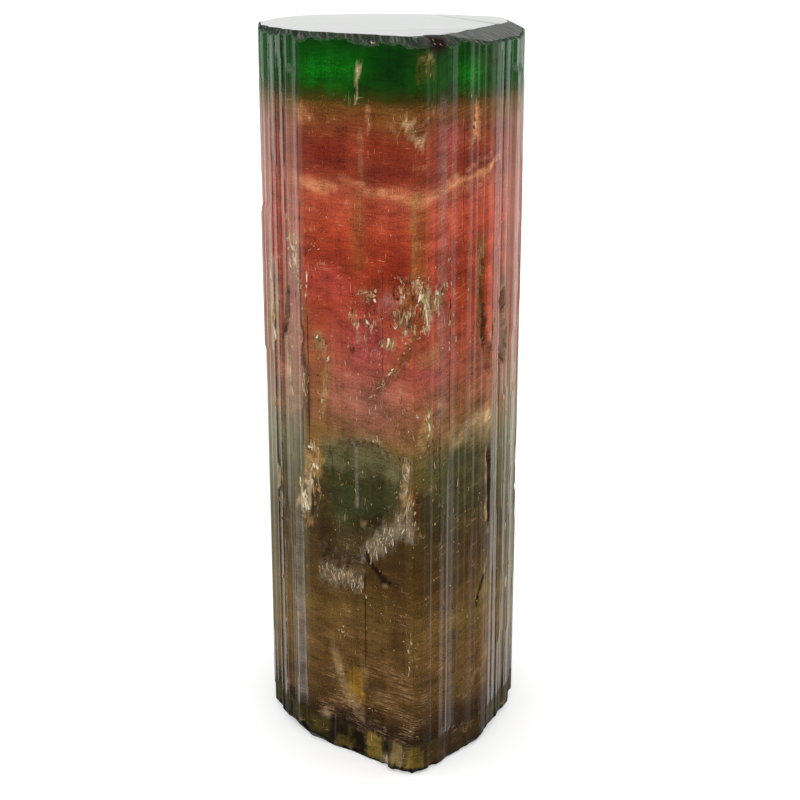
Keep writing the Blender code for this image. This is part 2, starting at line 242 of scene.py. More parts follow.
# Scars, cracks and gaps broken into the sides: depth, how wide the wall is, how rough
# the floor is, then the points of the edge. Some edges bound a stain as well.
CHIPPED_RED = (0.4, 40.9, 3.5, 41.4, 2.9, 40.2, 1.8, 38.9, 1.2, 39.9)
CRUSHED = (-9.4, 15.2, -5.2, 15.4, -4.8, 17.2, -7.6, 16.9, -9.2, 17.3)
PINK_FLAKE = (6.1, 52.3, 6.8, 52.4, 7, 54.6, 6.6, 54.8, 6.2, 53.8)
SIDE_GAP = (17.2, 20, 18.6, 19.2, 18.9, 27, 18, 31.5, 17.4, 26)
BACK_HOLLOW = (28, 17, 30.2, 15.2, 31.6, 18.6, 31.2, 24, 29.4, 26.8, 28.2, 22)
BACK_CRUST = (34.6, 36, 37, 34.2, 38.6, 37, 37.8, 42.6, 35.6, 43.2)
BACK_GAP = (44.4, 30, 45.8, 29, 46.2, 35.6, 45.2, 39, 44.6, 35)
SCARS = (
    # recess in the lower middle
    (0.55, 0.7, 0.05, -9.9, 19.4, -9.2, 21.2, -9.3, 24.6, -8.6, 27.6, -6.4, 28.2, -4.6, 28.7, -2, 28,
     -1.1, 26, -1.4, 23.6, -2.8, 22, -4.2, 20.2, -5, 18.2, -6.6, 17.2, -9.2, 17.6),
    # crust pocket left of the recess
    (0.28, 0.4, 0.1, -11.9, 20.4, -9.7, 20.2, -9.4, 22.6, -9.6, 26.5, -10.3, 26.3, -10.9, 23.6),
    # splintered edge right of the recess
    (0.3, 0.3, 0.12, -1.3, 21.2, 0.4, 21, 0.5, 24.5, -0.2, 27.8, -1, 27.6, -1.2, 24),
    # diagonal chipped crack
    (0.16, 0.25, 0.08, 0.1, 37.9, -0.3, 36.4, -1.6, 34.6, -3.3, 32.4, -3.9, 32.2, -2.4, 34.4, -0.9, 36.6),
    # three chips above the crack
    (0.22, 0.25, 0.08, -2.6, 39.6, -1.3, 41.9, -0.3, 42.5, 0.2, 40.6, -0.2, 38.2, -1.6, 38),
    (0.18, 0.25, 0.08, -4.2, 40.1, -3.2, 39.2, -3.1, 36.4, -4, 35.6, -4.6, 37.8),
    (0.2, 0.25, 0.08, *CHIPPED_RED),
    # dark gap between the right strips
    (0.55, 0.25, 0.06, 11.3, 39.9, 11.2, 33.5, 12.2, 33.3, 13, 34.6, 12.6, 36.6, 11.7, 39.7),
    # rough line down the right face, the pit at its end and the hollow below
    (0.3, 0.2, 0.08, 7.1, 42.8, 7.7, 42.6, 7.8, 38, 8.2, 36.2, 7.5, 35.4, 7.2, 38.5),
    (0.45, 0.3, 0.1, 7.7, 36.2, 9.2, 35.6, 9.4, 34.4, 8.6, 33.2, 7.8, 33.4),
    (0.22, 0.3, 0.06, 8.4, 26.8, 8.9, 27.2, 9.4, 24.6, 9.3, 20.4, 8.7, 20, 8.6, 23),
    # gaps between the left strips
    (0.4, 0.2, 0.05, -13.8, 35.9, -13.1, 36.2, -12.5, 39.6, -12.9, 39.7),
    (0.3, 0.2, 0.05, -11.2, 30.2, -10.4, 30, -10.5, 36.8, -11, 37.2),
    (0.25, 0.3, 0.08, -16.4, 22.4, -14.4, 21.9, -14.2, 23.6, -15.2, 24.2, -16.5, 23.9),
    # crushed zone under the recess and worn patch above the foot
    (0.16, 0.4, 0.14, *CRUSHED),
    (0.12, 0.4, 0.05, -7.6, 5.2, -5, 4.6, -4.9, 8.2, -7.2, 8.4),
    # flake in the pink part
    (0.25, 0.2, 0.06, *PINK_FLAKE),
    # scars at the sides and on the back
    (0.4, 0.3, 0.06, *SIDE_GAP),
    (0.35, 0.3, 0.06, 21, 38, 22.2, 37.5, 22.4, 44, 21.4, 46.5),
    (0.45, 0.6, 0.06, *BACK_HOLLOW),
    (0.3, 0.4, 0.06, *BACK_CRUST),
    (0.3, 0.2, 0.05, 40.5, 9, 41.5, 8.6, 41.8, 16.5, 41, 18),
    (0.4, 0.3, 0.06, *BACK_GAP),
    (0.35, 0.3, 0.06, 50, 12, 51.4, 11, 51.8, 19, 50.6, 22.5),
    (0.3, 0.2, 0.05, 53.2, 42, 54.4, 41.2, 54.6, 48, 53.6, 50.5),
)
ragged_s = S + 0.16 * lattice_noise(S, Z, 0.35, 0.9, 11) + 0.10 * lattice_noise(S, Z, 0.17, 0.5, 12)
ragged_z = Z + 0.45 * lattice_noise(S, Z, 0.32, 1.1, 13) + 0.30 * lattice_noise(S, Z, 0.17, 0.5, 14)
scar_wall = np.zeros(S.shape)
calm_z = Z + 0.22 * lattice_noise(S, Z, 1.3, 1.2, 17) + 0.07 * lattice_noise(S, Z, 0.4, 0.5, 18)
floor_grain = 0.6 * lattice_noise(S, Z, 0.45, 1.3, 15) + 0.4 * lattice_noise(S, Z, 0.2, 0.5, 16)
NARROW_WALL = 0.35
for depth, wall, rough, *edge in SCARS:
    inward = inside_depth(pairs(edge), ragged_s, ragged_z)
    sunk = soft_step(-0.05, wall, inward)
    out -= depth * sunk + rough * floor_grain * soft_step(0.0, 0.2, inward)
    steep = soft_step(-0.06, 0.0, inward) * (1 - soft_step(wall * 0.6, wall, inward))
    scar_wall = np.maximum(scar_wall, steep)
    # narrow scar walls get a little painted shade along them
    if wall < NARROW_WALL:
        crack_shade = np.maximum(crack_shade, 0.2 * steep)

# Pleats of the foot band: from, to, height and depth
PLEATS = (
    (-9.3, -8, 2.6, 0.1), (-7.4, -6.6, 2.9, 0.16), (-6.2, -5.1, 2.4, 0.3), (-4.3, -3.8, 2.8, 0.14),
    (-2.9, -2.3, 2.5, 0.26), (-1.5, -1.1, 2.9, 0.12), (-0.4, 0.1, 2.8, 0.14), (1.5, 2.3, 2.4, 0.16),
    (3.4, 4.2, 2.6, 0.1), (5.6, 6.2, 2.2, 0.14),
)
PLEAT_EDGE = 0.08
PLEAT_END = 0.2
for low, high, top, depth in PLEATS:
    pleat_end = 1 - soft_step(top - PLEAT_END, top + PLEAT_END, ragged_z)
    out -= depth * between(low, high, PLEAT_EDGE, ragged_s) * pleat_end

# Broken rim of the top: an uneven bevel with shell-shaped chips, deeper along the front.
# Each chip has its middle, half its width, its depth and its height.
RIM_CHIPS = (
    (-16.6, 1.3, 0.4, 0.42), (-14.3, 1.4, 0.5, 0.6), (-12.4, 0.8, 0.45, 0.46), (-10.8, 1.3, 0.55, 0.68),
    (-8.4, 1.6, 0.46, 0.5), (-6.4, 0.8, 0.38, 0.4), (-5.2, 1.2, 0.5, 0.6), (-3.9, 0.9, 0.6, 0.82),
    (-2.2, 1.3, 0.45, 0.56), (-0.4, 1.2, 0.55, 0.72), (0.9, 0.6, 0.42, 0.6), (2.15, 1, 1, 0.8), (3.7, 1, 0.55, 0.85),
    (20, 1.6, 0.3, 0.3), (28.4, 1.2, 0.35, 0.35), (36, 1.5, 0.3, 0.28), (43.6, 1.3, 0.4, 0.4),
    (50.5, 1.2, 0.35, 0.32),
)


def column_noise(size, seed):
    """Smooth random values from -1 to 1, one for each column."""
    return lattice_noise(columns, columns * 0, size, 1.0, seed)


rim_depth = 0.20 + 0.07 * column_noise(0.7, 21)
rim_height = 0.22 + 0.09 * column_noise(0.9, 22)
for middle, half, depth, height in RIM_CHIPS:
    swell = np.clip(1 - np.abs((columns - middle) / half) ** 2.6, 0.0, 1.0)
    rim_depth = np.maximum(rim_depth, depth * swell)
    rim_height = np.maximum(rim_height, height * swell)
rim_height *= 1 + 0.16 * column_noise(0.45, 23)

# Broken corner at the right front: sloping planes, each by a point of its upper edge,
# its downhill direction and its slope
BREAK_PLANES = (
    ((4.2, -10.3), (0.934, -0.358), 0.33),
    ((7.3, -8.2), (0.60, -0.80), 0.62),
    ((9.9, 1.0), (0.995, 0.10), 0.45),
    ((5.2, -9.4), (0.80, -0.60), 0.42),
)


def top_height(x, y):
    """Height of the top over a point: the flat top, or the broken corner below it."""
    height = np.full(np.shape(x), HEIGHT)
    for (px, py), (dx, dy), slope in BREAK_PLANES:
        fall = np.maximum(0.0, ((x - px) * dx + (y - py) * dy)) * slope
        height = np.minimum(height, HEIGHT - fall)
    return height


# Broken lower edge: stations as (along, depth, height)
FOOT_STATIONS = (
    (-17.4, 0.5, 0.55), (-14.6, 0.6, 0.7), (-12, 0.55, 0.75), (-9.6, 0.45, 0.45), (-8.2, 0.2, 0.18),
    (-6.4, 0.34, 0.3), (-4.6, 0.18, 0.16), (-3.2, 0.16, 0.12), (-2.3, 0.3, 0.3), (-1, 0.2, 0.3), (-0.2, 0.26, 0.45),
    (0.6, 0.26, 0.42), (1.4, 0.2, 0.26), (3.6, 0.2, 0.2), (6.2, 0.28, 0.26), (8, 0.4, 0.5), (10.2, 0.55, 0.7),
    (13, 0.5, 0.6), (16.6, 0.45, 0.5), (21, 0.3, 0.3), (26, 0.4, 0.36), (31, 0.24, 0.22), (36.5, 0.34, 0.3),
    (42, 0.26, 0.24), (47, 0.4, 0.4), (52, 0.34, 0.3),
)
station_places, station_depths, station_heights = zip(*FOOT_STATIONS)
foot_depth = np.interp(columns, station_places, station_depths, period=GIRTH)
foot_height = np.interp(columns, station_places, station_heights, period=GIRTH)
foot_depth *= 1 + 0.10 * column_noise(1.1, 24)
foot_height *= 1 + 0.10 * column_noise(0.9, 25)

# Each column ends at the top's own height there, so its upper rows close up evenly
base_points, _ = on_outline(columns)
outward = outward_at(columns)
rim_points = base_points * TOP_SCALE - outward * rim_depth[:, None]
column_top = top_height(rim_points[:, 0], rim_points[:, 1])
SQUEEZE_FROM = 55.0
squeeze = (column_top - SQUEEZE_FROM) / (HEIGHT - SQUEEZE_FROM)
heights = np.where(Z > SQUEEZE_FROM, SQUEEZE_FROM + (Z - SQUEEZE_FROM) * squeeze, Z)
below_top = column_top[None, :] - heights
rim_share = np.clip(1 - below_top / rim_height[None, :], 0.0, 1.0)
foot_share = np.clip(1 - heights / foot_height[None, :], 0.0, 1.0)
out *= (1 - rim_share ** 4) * (1 - foot_share ** 3)
out -= rim_depth[None, :] * rim_share ** 1.2
out -= foot_depth[None, :] * foot_share ** 0.8
rim_rough = soft_step(0.0, 0.25, rim_share) * (1 - soft_step(0.9, 1.0, rim_share))
out += 0.04 * rim_rough * lattice_noise(S + 1.2 * Z, Z, 0.24, 0.4, 26)

taper = 1 + (TOP_SCALE - 1) * heights / HEIGHT
wall_x = base_points[None, :, 0] * taper + outward[None, :, 0] * out
wall_y = base_points[None, :, 1] * taper + outward[None, :, 1] * out


# Stains and inclusions: iron stains, milky veils and dirt in and on the stone's skin, as broad as
# the mesh can carry, with painted shade in its hollows, slits, pits, pleats and chip hole, painted
# highlights, and the painted glow and shade of light inside the green cap. Each has a colour, a
# strength and a shape on the sides.
# Blots are round, strokes and threads follow a line, patches and blocks fill an edge.
def tone(red, green, blue):
    """Colour by its screen values from 0 to 255."""
    linear = []
    for value in (red, green, blue):
        share = value / 255.0
        linear.append(share / 12.92 if share <= 0.04045 else ((share + 0.055) / 1.055) ** 2.4)
    return (*linear, 1.0)


def blot(across, up, half_across, half_up):
    """Soft round mark."""
    return np.exp(-(((S - across) / half_across) ** 2) - ((Z - up) / half_up) ** 2)


def near_line(width, feather, line, across, up):
    """Line through these points with this width and soft sides."""
    points = pairs(line)
    nearest = np.full(S.shape, FAR)
    for start, end in zip(points, points[1:]):
        nearest = np.minimum(nearest, gap_to(*start, *end, across, up))
    return 1 - soft_step(width / 2, width / 2 + feather, nearest)


def stroke(width, feather, *line):
    """Ragged line."""
    return near_line(width, feather, line, ragged_s, ragged_z)


def thread(width, feather, *line):
    """Gently waving line."""
    return near_line(width, feather, line, S, calm_z)


def patch(feather, *edge):
    """Filled mark with a ragged edge."""
    return soft_step(-feather / 2, feather / 2, inside_depth(pairs(edge), ragged_s, ragged_z))


def block(feather, low, high, bottom, top):
    """Upright filled mark with a ragged edge."""
    return patch(feather, low, bottom, high, bottom, high, top, low, top)


BRIGHT_GREEN = tone(2, 116, 6)
BLACK_GREEN = tone(2, 40, 1)
BROWN_GREEN = tone(52, 60, 20)
MAROON = tone(108, 24, 18)
DEEP_RED = tone(134, 36, 20)
CORAL = tone(184, 78, 54)
ROSE = tone(176, 70, 74)
PEACH = tone(216, 146, 100)
RUST = tone(128, 82, 34)
GOLD = tone(172, 134, 76)
AMBER = tone(62, 38, 12)
CREAM = tone(208, 182, 138)
SAND = tone(160, 134, 92)
ASH = tone(148, 136, 114)
MOSS = tone(58, 64, 34)
SAGE = tone(112, 108, 76)
BARK = tone(58, 38, 18)
OLIVE = tone(112, 92, 34)
LILAC = tone(150, 140, 134)
HONEY = tone(146, 108, 26)
SHADOW = tone(26, 14, 5)
DUSTY_PINK = tone(178, 108, 96)
DULL_MOSS = tone(78, 72, 44)
DARK_SKIN = tone(58, 42, 34)
SHADED_CHIP_HOLE = (2.15, 59.5)
STAINS_AND_PAINTED_LIGHT = (
    # green cap: its bright and black-green blots are painted glow and shade of light inside the stone
    (BRIGHT_GREEN, 0.85, blot(-8.6, 57.3, 1.9, 1.5)),
    (BRIGHT_GREEN, 0.55, blot(-5.7, 57.3, 1.2, 1.3)),
    (BRIGHT_GREEN, 0.8, blot(5.9, 57.2, 1.6, 1.1)),
    (BLACK_GREEN, 0.8, blot(-2, 57.8, 2, 1.6)),
    (BLACK_GREEN, 0.6, blot(-5.3, 56, 0.9, 1)),
    (BROWN_GREEN, 0.6, blot(8.6, 58.4, 1.6, 1)),
    (BROWN_GREEN, 0.5, blot(1, 58.4, 1, 1)),
    (OLIVE, 0.2, patch(0.5, 0.2, 57, 1.8, 57, 1.6, 59, 0.3, 59)),
    (CREAM, 0.75, patch(0.2, -5.2, 56.8, -4.9, 56.9, -4.7, 57.8, -5, 58, -5.2, 57.4)),
    (CREAM, 0.45, stroke(0.08, 0.12, -5.15, 56.9, -5.25, 55)),
    (GOLD, 0.4, stroke(0.12, 0.15, 0.4, 58.7, 1, 58.2, 0.8, 57.4)),
    (SAND, 0.7, stroke(0.14, 0.12, 1.2, 58.9, 1.5, 58.4)),
    # painted shade in the deep chip hole at the rim
    (SHADOW, 1.0, blot(*SHADED_CHIP_HOLE, 1.1, 0.7)),
    # brown band below it
    (RUST, 0.5, blot(-1.5, 54.4, 3.4, 0.5)),
    (RUST, 0.35, blot(5, 54.3, 3, 0.5)),
    (PEACH, 0.45, patch(0.5, -11.4, 54.3, -9.2, 54.2, -9.6, 53.3, -11, 53.2)),
    (PEACH, 0.6, stroke(0.2, 0.16, -4.1, 54.6, -4, 53.2)),
    (CREAM, 0.5, patch(0.2, -1, 54.3, 0, 54.2, 0.2, 53.7, -0.9, 53.6)),
    (CREAM, 0.5, patch(0.2, -0.4, 53, 1, 53, 0.7, 52.2, 0, 52.2)),
    (SAND, 0.55, stroke(0.12, 0.16, -0.8, 53.2, 0.4, 53.5, 1.5, 54.2)),
    (SAND, 0.4, stroke(0.16, 0.16, -2.2, 53.4, 0.2, 52.9)),
    (PEACH, 0.35, stroke(0.14, 0.16, -0.4, 50.6, 0.9, 50.5)),
    (PEACH, 0.9, patch(0.1, *PINK_FLAKE)),
    (RUST, 0.7, thread(0.1, 0.16, 6.05, 52.2, 6.15, 54.2)),
    (PEACH, 0.7, patch(0.2, 6.3, 53.4, 6.7, 53.4, 6.9, 54.4, 6.6, 54.6)),
    # deep red band and its patches
    (MAROON, 0.8, blot(-8.2, 50.7, 2.4, 1.1)),
    (MAROON, 0.6, blot(-2.4, 50, 2.4, 0.9)),
    (MAROON, 0.6, blot(6.6, 50.5, 2.6, 0.7)),
    (DEEP_RED, 0.5, blot(-4, 51.8, 5, 0.9)),
    (ROSE, 0.5, blot(3.4, 52.6, 1.6, 1.2)),
    (CORAL, 0.35, blot(-5.2, 52.2, 1, 1.6)),
    # veil across the red part
    (PEACH, 0.55, thread(0.5, 0.6, -11.6, 48.9, -10, 48.5, -8.4, 48.3)),
    (PEACH, 0.5, thread(0.1, 0.25, -9.6, 48.9, -7.2, 48.5)),
    (PEACH, 0.3, thread(0.1, 0.3, -6.8, 49.3, -4.6, 49)),
    (PEACH, 0.6, thread(0.16, 0.35, -4.4, 48.5, -1.6, 48.2, 0.4, 47.9, 2.2, 48.4)),
    (PEACH, 0.55, blot(0.3, 48.4, 1.5, 0.5)),
    (PEACH, 0.8, thread(0.14, 0.3, 1.4, 48.2, 3.8, 48.8, 6.2, 49.3, 8.6, 49.9, 10.2, 50.5)),
    (PEACH, 0.5, thread(0.06, 0.2, 2.2, 48.9, 5, 49.7, 8.4, 50.8)),
    (PEACH, 0.4, thread(0.06, 0.25, 3, 47.8, 5.6, 48.5, 8, 49)),
    (CORAL, 0.5, blot(-5, 46.9, 6.5, 1)),
    (CORAL, 0.5, blot(3.5, 46.9, 3.5, 1.4)),
    (LILAC, 0.24, stroke(0.4, 0.5, 2.7, 55, 2.8, 31)),
    # brown and rusty stripes down the red part
    (RUST, 0.45, stroke(0.7, 0.7, -5.3, 48, -5.2, 43)),
    (SAND, 0.30, stroke(0.16, 0.2, -4.9, 53, -4.9, 45)),
    (RUST, 0.45, stroke(0.6, 0.8, 0.45, 47.6, 0.5, 38.6)),
    (GOLD, 0.5, stroke(0.18, 0.3, 0, 48.2, 0.1, 42.5)),
    (RUST, 0.8, stroke(0.5, 0.5, 7.3, 44.5, 7.4, 36)),
    (GOLD, 0.7, stroke(0.12, 0.2, 7.25, 43.4, 7.45, 38.2)),
    (DEEP_RED, 0.7, blot(-1.8, 43, 1.6, 1.8)),
    (DEEP_RED, 0.45, blot(-8.4, 43, 2.4, 1.4)),
    (MAROON, 0.45, blot(4.4, 43.6, 1, 1.3)),
    (CORAL, 0.4, blot(8.6, 40.5, 1, 1.4)),
    (ROSE, 0.75, blot(-4.6, 36.2, 2.4, 2.8)),
    (ROSE, 0.55, blot(1.4, 34.6, 2.2, 1.6)),
    (ROSE, 0.4, blot(-8, 40.8, 2, 1.6)),
    (LILAC, 0.30, blot(-2.3, 40.2, 0.8, 0.8)),
    (CREAM, 0.35, patch(0.5, -12.4, 43, -11.2, 43.2, -11, 44.8, -12, 44.6)),
    (CREAM, 0.4, patch(0.5, -12.8, 40, -11.4, 40.4, -11, 42.2, -12.4, 42.2)),
    (SAND, 0.7, patch(0.8, -17.4, 34.2, -14.6, 34.6, -14, 38.6, -14.8, 41.6, -16.8, 41.8)),
    (CREAM, 0.4, patch(0.6, -17, 35.6, -15.8, 35.8, -15.4, 39.4, -16.6, 39.8)),
    # chips and crust across the middle
    (SAND, 0.35, patch(0.5, -5.3, 40.9, -3.6, 40.8, -3.4, 40.2, -4.8, 39.9)),
    (RUST, 0.6, patch(0.7, -1.6, 38.2, -0.2, 38.2, 0.1, 40.4, -0.4, 42.3, -1.3, 41.4)),
    (SAND, 0.45, patch(0.5, *CHIPPED_RED)),
    (CREAM, 0.5, stroke(0.4, 0.3, 1.2, 41.2, 1.4, 39)),
    (SAND, 0.5, stroke(0.22, 0.2, -6, 38.9, -5.3, 37.9, -5, 36.6)),
    (SAND, 0.6, stroke(0.35, 0.2, -2.9, 36.9, -2, 36.7)),
    (SAND, 0.5, stroke(0.2, 0.2, -1.6, 38.8, -0.5, 38.4)),
    (RUST, 0.6, stroke(0.25, 0.3, 0.1, 37.9, -0.6, 36.4, -2, 34.5, -3.7, 32.3)),
    (AMBER, 0.55, thread(0.03, 0.15, -0.2, 36.3, -1.6, 34.4, -2.9, 32.9)),
    (GOLD, 0.35, patch(0.8, 0.4, 36.9, 2.6, 36.6, 2.4, 34.9, 0.2, 35.4)),
    # painted shade in the pit at the end of the rough line
    (SHADOW, 0.7, stroke(0.14, 0.2, 7.7, 38.8, 7.9, 36.2, 8.4, 34.6)),
    (GOLD, 0.5, stroke(0.08, 0.16, 8.9, 36.6, 9.2, 34)),
    (AMBER, 0.5, blot(8.3, 34.8, 0.7, 1.3)),
    # brown stripes and gaps at the left
    (RUST, 0.6, stroke(0.4, 0.5, -10.6, 38.6, -10.6, 30)),
    (AMBER, 0.6, stroke(0.5, 0.4, -10.3, 33.4, -10.4, 29.6)),
    (RUST, 0.55, stroke(0.5, 0.7, -9.2, 36, -9.3, 31)),
    (SAND, 0.5, patch(0.4, -9.6, 36.9, -8.2, 36.7, -8.4, 35, -9.8, 35.2)),
    (RUST, 0.85, patch(0.3, -14.1, 33.4, -12.9, 33.4, -12.4, 40.2, -12.9, 40.4)),
    (AMBER, 0.65, patch(0.2, -13.9, 35.4, -13, 35.4, -12.5, 40.2, -12.9, 40.4)),
    (RUST, 0.5, stroke(0.5, 0.3, -12.6, 36, -12.7, 30)),
    (AMBER, 0.5, stroke(0.4, 0.3, -15.2, 36, -15, 30)),
    (CREAM, 0.6, stroke(0.3, 0.25, -12.9, 34, -12.7, 31.2)),
    (GOLD, 0.6, stroke(0.35, 0.25, -8.4, 34.2, -8.7, 30.6)),
    # painted highlight down the pale strip at the left
    (LILAC, 0.25, stroke(0.8, 0.6, -11.9, 47, -11.9, 28)),
    # gap between the right strips
    (RUST, 0.75, patch(0.4, 11.2, 42, 11.1, 33.4, 12.2, 33.2, 13, 34.6, 12.6, 36.8, 11.8, 40.6)),
    (AMBER, 0.7, stroke(0.5, 0.4, 11.7, 40.4, 11.9, 37, 12.6, 34.4)),
    (GOLD, 0.6, stroke(0.06, 0.16, 11.3, 42.4, 11.3, 34)),
    # dusty seam above the green zone
    (SAND, 0.5, patch(0.9, 3.6, 29.6, 9.6, 30.6, 9.4, 28.2, 4, 27.8)),
    (CREAM, 0.2, stroke(0.3, 0.5, 5.4, 29.4, 8.6, 29.8)),
    (GOLD, 0.85, patch(0.2, 0.3, 29, 1.7, 28.9, 1.6, 31.9, 0.8, 32.2)),
    (RUST, 0.6, stroke(0.1, 0.16, 0.1, 32, 0.2, 29)),
    (SAND, 0.5, stroke(0.4, 0.2, -4.8, 28.9, -3.4, 28.5)),
    (CREAM, 0.7, blot(-3.6, 28.7, 0.5, 0.22)),
    (DUSTY_PINK, 0.6, blot(-4.6, 31.6, 3.8, 2.6)),
    # green zone and the recess
    (SAGE, 0.45, patch(0.2, -9, 25.2, -8.7, 27.6, -6.6, 28.5, -4.6, 28.7, -2.2, 28.2, -1.2, 26.4, -1.8, 25)),
    (SAGE, 0.35, patch(1.2, -8.8, 27.8, -2.2, 28, -2, 25.6, -8.8, 25.4)),
    (MOSS, 0.85, patch(1.4, -8.8, 25.4, -1.8, 25.4, -2.9, 21.8, -5.6, 20.6, -8.4, 21)),
    (MOSS, 0.8, blot(4.9, 26.9, 2.2, 1.2)),
    (MOSS, 0.45, blot(4, 23, 3.6, 3)),
    (DULL_MOSS, 0.6, blot(-7, 19.3, 2.2, 1.7)),
    (BARK, 0.5, blot(0.9, 23.6, 1, 1.8)),
    (AMBER, 0.8, patch(0.7, 8, 27.2, 9, 27.4, 9.5, 24.6, 9.4, 20.2, 8.3, 19.8, 8.1, 23)),
    (GOLD, 0.6, stroke(0.06, 0.15, 8.3, 27, 8.5, 20.6)),
    # painted shade down the core of the right hollow
    (SHADOW, 0.9, thread(0.16, 0.2, 9.1, 26.4, 9.2, 20.6)),
    (GOLD, 0.8, blot(9.1, 19.5, 0.4, 0.4)),
    # painted shade in the lower left corner of the recess
    (SHADOW, 0.3, patch(0.6, -9.7, 19.6, -9.1, 21.2, -8.4, 20.6, -8.9, 19.2)),
    (RUST, 0.5, stroke(0.6, 0.5, -9.9, 28.6, -9.8, 25.6)),
    (GOLD, 0.85, patch(0.3, -10.9, 24.8, -9.2, 24.6, -8.9, 26.2, -9.4, 27, -10.6, 26.9)),
    (CREAM, 0.75, patch(0.3, -12.2, 21.2, -10.7, 20.8, -10.4, 22.8, -10.6, 24.6, -11.4, 23.6)),
    (CREAM, 0.8, stroke(0.26, 0.15, -10.3, 24.6, -10.5, 21.4)),
    (AMBER, 0.7, stroke(0.2, 0.15, -10.95, 24, -10.75, 20.8)),
    (GOLD, 0.7, stroke(0.4, 0.2, -11.6, 20.9, -10.4, 20.2)),
    (SAND, 0.75, patch(0.4, -16.7, 22.4, -14.8, 22, -15, 24.6, -16.9, 25.2)),
    (LILAC, 0.55, thread(0.02, 0.24, -5.9, 28.2, -5.85, 22.6)),
    (CREAM, 0.7, stroke(0.26, 0.2, -0.8, 27.6, -0.9, 22.4)),
    (RUST, 0.35, patch(0.6, -1.4, 21, 0.4, 21.4, 0.5, 24.4, 0.1, 26.8, -0.6, 26.6, -1.2, 23.6)),
    (GOLD, 0.5, stroke(0.1, 0.2, -0.3, 27.8, -0.35, 22.6)),
    (AMBER, 0.6, stroke(0.12, 0.2, 0.5, 24.8, 0, 22.4)),
    (ASH, 0.5, patch(0.6, -1.6, 21.2, -0.2, 21.6, -0.1, 23.6, -1.4, 23.4)),
    (ASH, 0.5, stroke(0.9, 0.7, -0.6, 22.2, -2.6, 20.7, -4.6, 18.6)),
    (BARK, 0.6, stroke(0.5, 0.3, -3.4, 21.9, -4.9, 21.4)),
    (CREAM, 0.3, stroke(0.04, 0.14, -5.6, 20.95, -4.8, 21.5)),
    # slits and the crushed zone: painted shade fills the slits, with a painted highlight at the long slit's lower
    # end
    (SHADOW, 1.0, thread(0.3, 0.14, -4.75, 19, -4.1, 18.2, -3.4, 17.5, -2.8, 16.9)),
    (SHADOW, 0.9, thread(0.06, 0.12, -3.6, 17.9, -2.2, 16.9)),
    (RUST, 0.7, thread(0.06, 0.12, -4.1, 18.7, -2.9, 17.4)),
    (SAND, 0.6, thread(0.08, 0.14, -2.9, 16.7, -2.2, 16.4)),
    (ASH, 0.35, patch(0.8, *CRUSHED)),
    (BARK, 0.30, stroke(0.9, 0.7, -1.6, 20, -1.5, 9)),
    (OLIVE, 0.6, patch(1.4, 6.9, 12.8, 9.6, 12.8, 9.6, 16.8, 7.6, 16.8)),
    # painted shade in the crack at the lower right
    (SHADOW, 0.8, thread(0.08, 0.15, 7.3, 13.4, 8.2, 15.4)),
    (CREAM, 0.5, stroke(0.1, 0.14, 8.2, 15.6, 8.8, 17)),
    # worn patch and the skin above the foot
    (HONEY, 1.0, patch(0.7, -6.8, 5.4, -4.9, 5, -4.8, 8, -6.4, 8.2)),
    (SAND, 0.65, stroke(0.5, 0.4, -7.9, 9.4, -7.4, 7.2, -6.5, 5.2, -5.2, 3.9)),
    (SAND, 0.4, stroke(0.2, 0.25, -4.6, 8.8, -4.6, 6.8)),
    (RUST, 0.35, blot(-1.7, 7.6, 1.2, 1.2)),
    (DARK_SKIN, 0.55, blot(-4, 3.1, 5, 0.6)),
    (BARK, 0.6, blot(3.6, 4, 3, 1.1)),
    (SAND, 0.35, stroke(0.14, 0.2, 7, 6.2, 9.2, 8.2)),
    # foot band, with painted shade in its pleats and along its lowest edge
    (SHADOW, 0.85, patch(0.5, -8.9, 0.5, -6.7, 0.4, -6.5, 2.6, -8.6, 2.7)),
    (OLIVE, 0.6, patch(0.3, -7.9, 0.1, -5.4, 0.1, -5.5, 1.2, -7.7, 1.4)),
    (SHADOW, 0.9, patch(0.3, -6.2, 0.1, -5, 0.1, -4.9, 2.5, -5.9, 2.8)),
    (SHADOW, 0.9, patch(0.3, -2.9, 0.2, -2.2, 0.2, -2.2, 2.5, -2.8, 2.6)),
    (OLIVE, 0.8, patch(0.3, -4.6, 0.3, -3, 0.3, -3, 2.4, -4.5, 2.6)),
    (SHADOW, 0.5, blot(-8, 0.9, 1.8, 0.6)),
    (SAND, 0.45, patch(0.25, -1.9, 0.6, -0.8, 0.6, -0.8, 2.5, -1.8, 2.5)),
    (SHADOW, 0.6, thread(0.08, 0.14, -0.75, 0.4, -0.7, 2.5)),
    (SHADOW, 0.6, thread(0.14, 0.16, 0.95, 0.4, 1, 2.5)),
    (OLIVE, 0.7, patch(0.3, -0.6, 0.3, 0.9, 0.3, 0.9, 2.5, -0.5, 2.5)),
    (OLIVE, 0.45, patch(0.4, 1.3, 0.4, 2.6, 0.4, 2.6, 2.4, 1.3, 2.5)),
    (CREAM, 0.8, blot(-2.6, 0.5, 0.3, 0.5)),
    (CREAM, 0.5, blot(-8.9, 3, 0.3, 0.4)),
    (SHADOW, 1.0, stroke(0.3, 0.2, -1.2, 0.2, 0.4, 0.2)),
    (BARK, 0.75, patch(0.8, 1.2, 0.1, 9.6, 0.1, 9.6, 2.4, 1.2, 2.6)),
    # left strips: dark stripes, painted highlights down the pale strip and painted shade at the foot
    (BARK, 0.5, stroke(0.5, 0.4, -15.9, 1, -15.9, 20)),
    (SAND, 0.5, stroke(0.3, 0.3, -16.2, 5, -16.4, 14)),
    (LILAC, 0.35, thread(0.9, 0.5, -11.8, 3.4, -11.9, 20.6)),
    (LILAC, 0.35, thread(0.9, 0.5, -11.8, 4.4, -11.9, 16)),
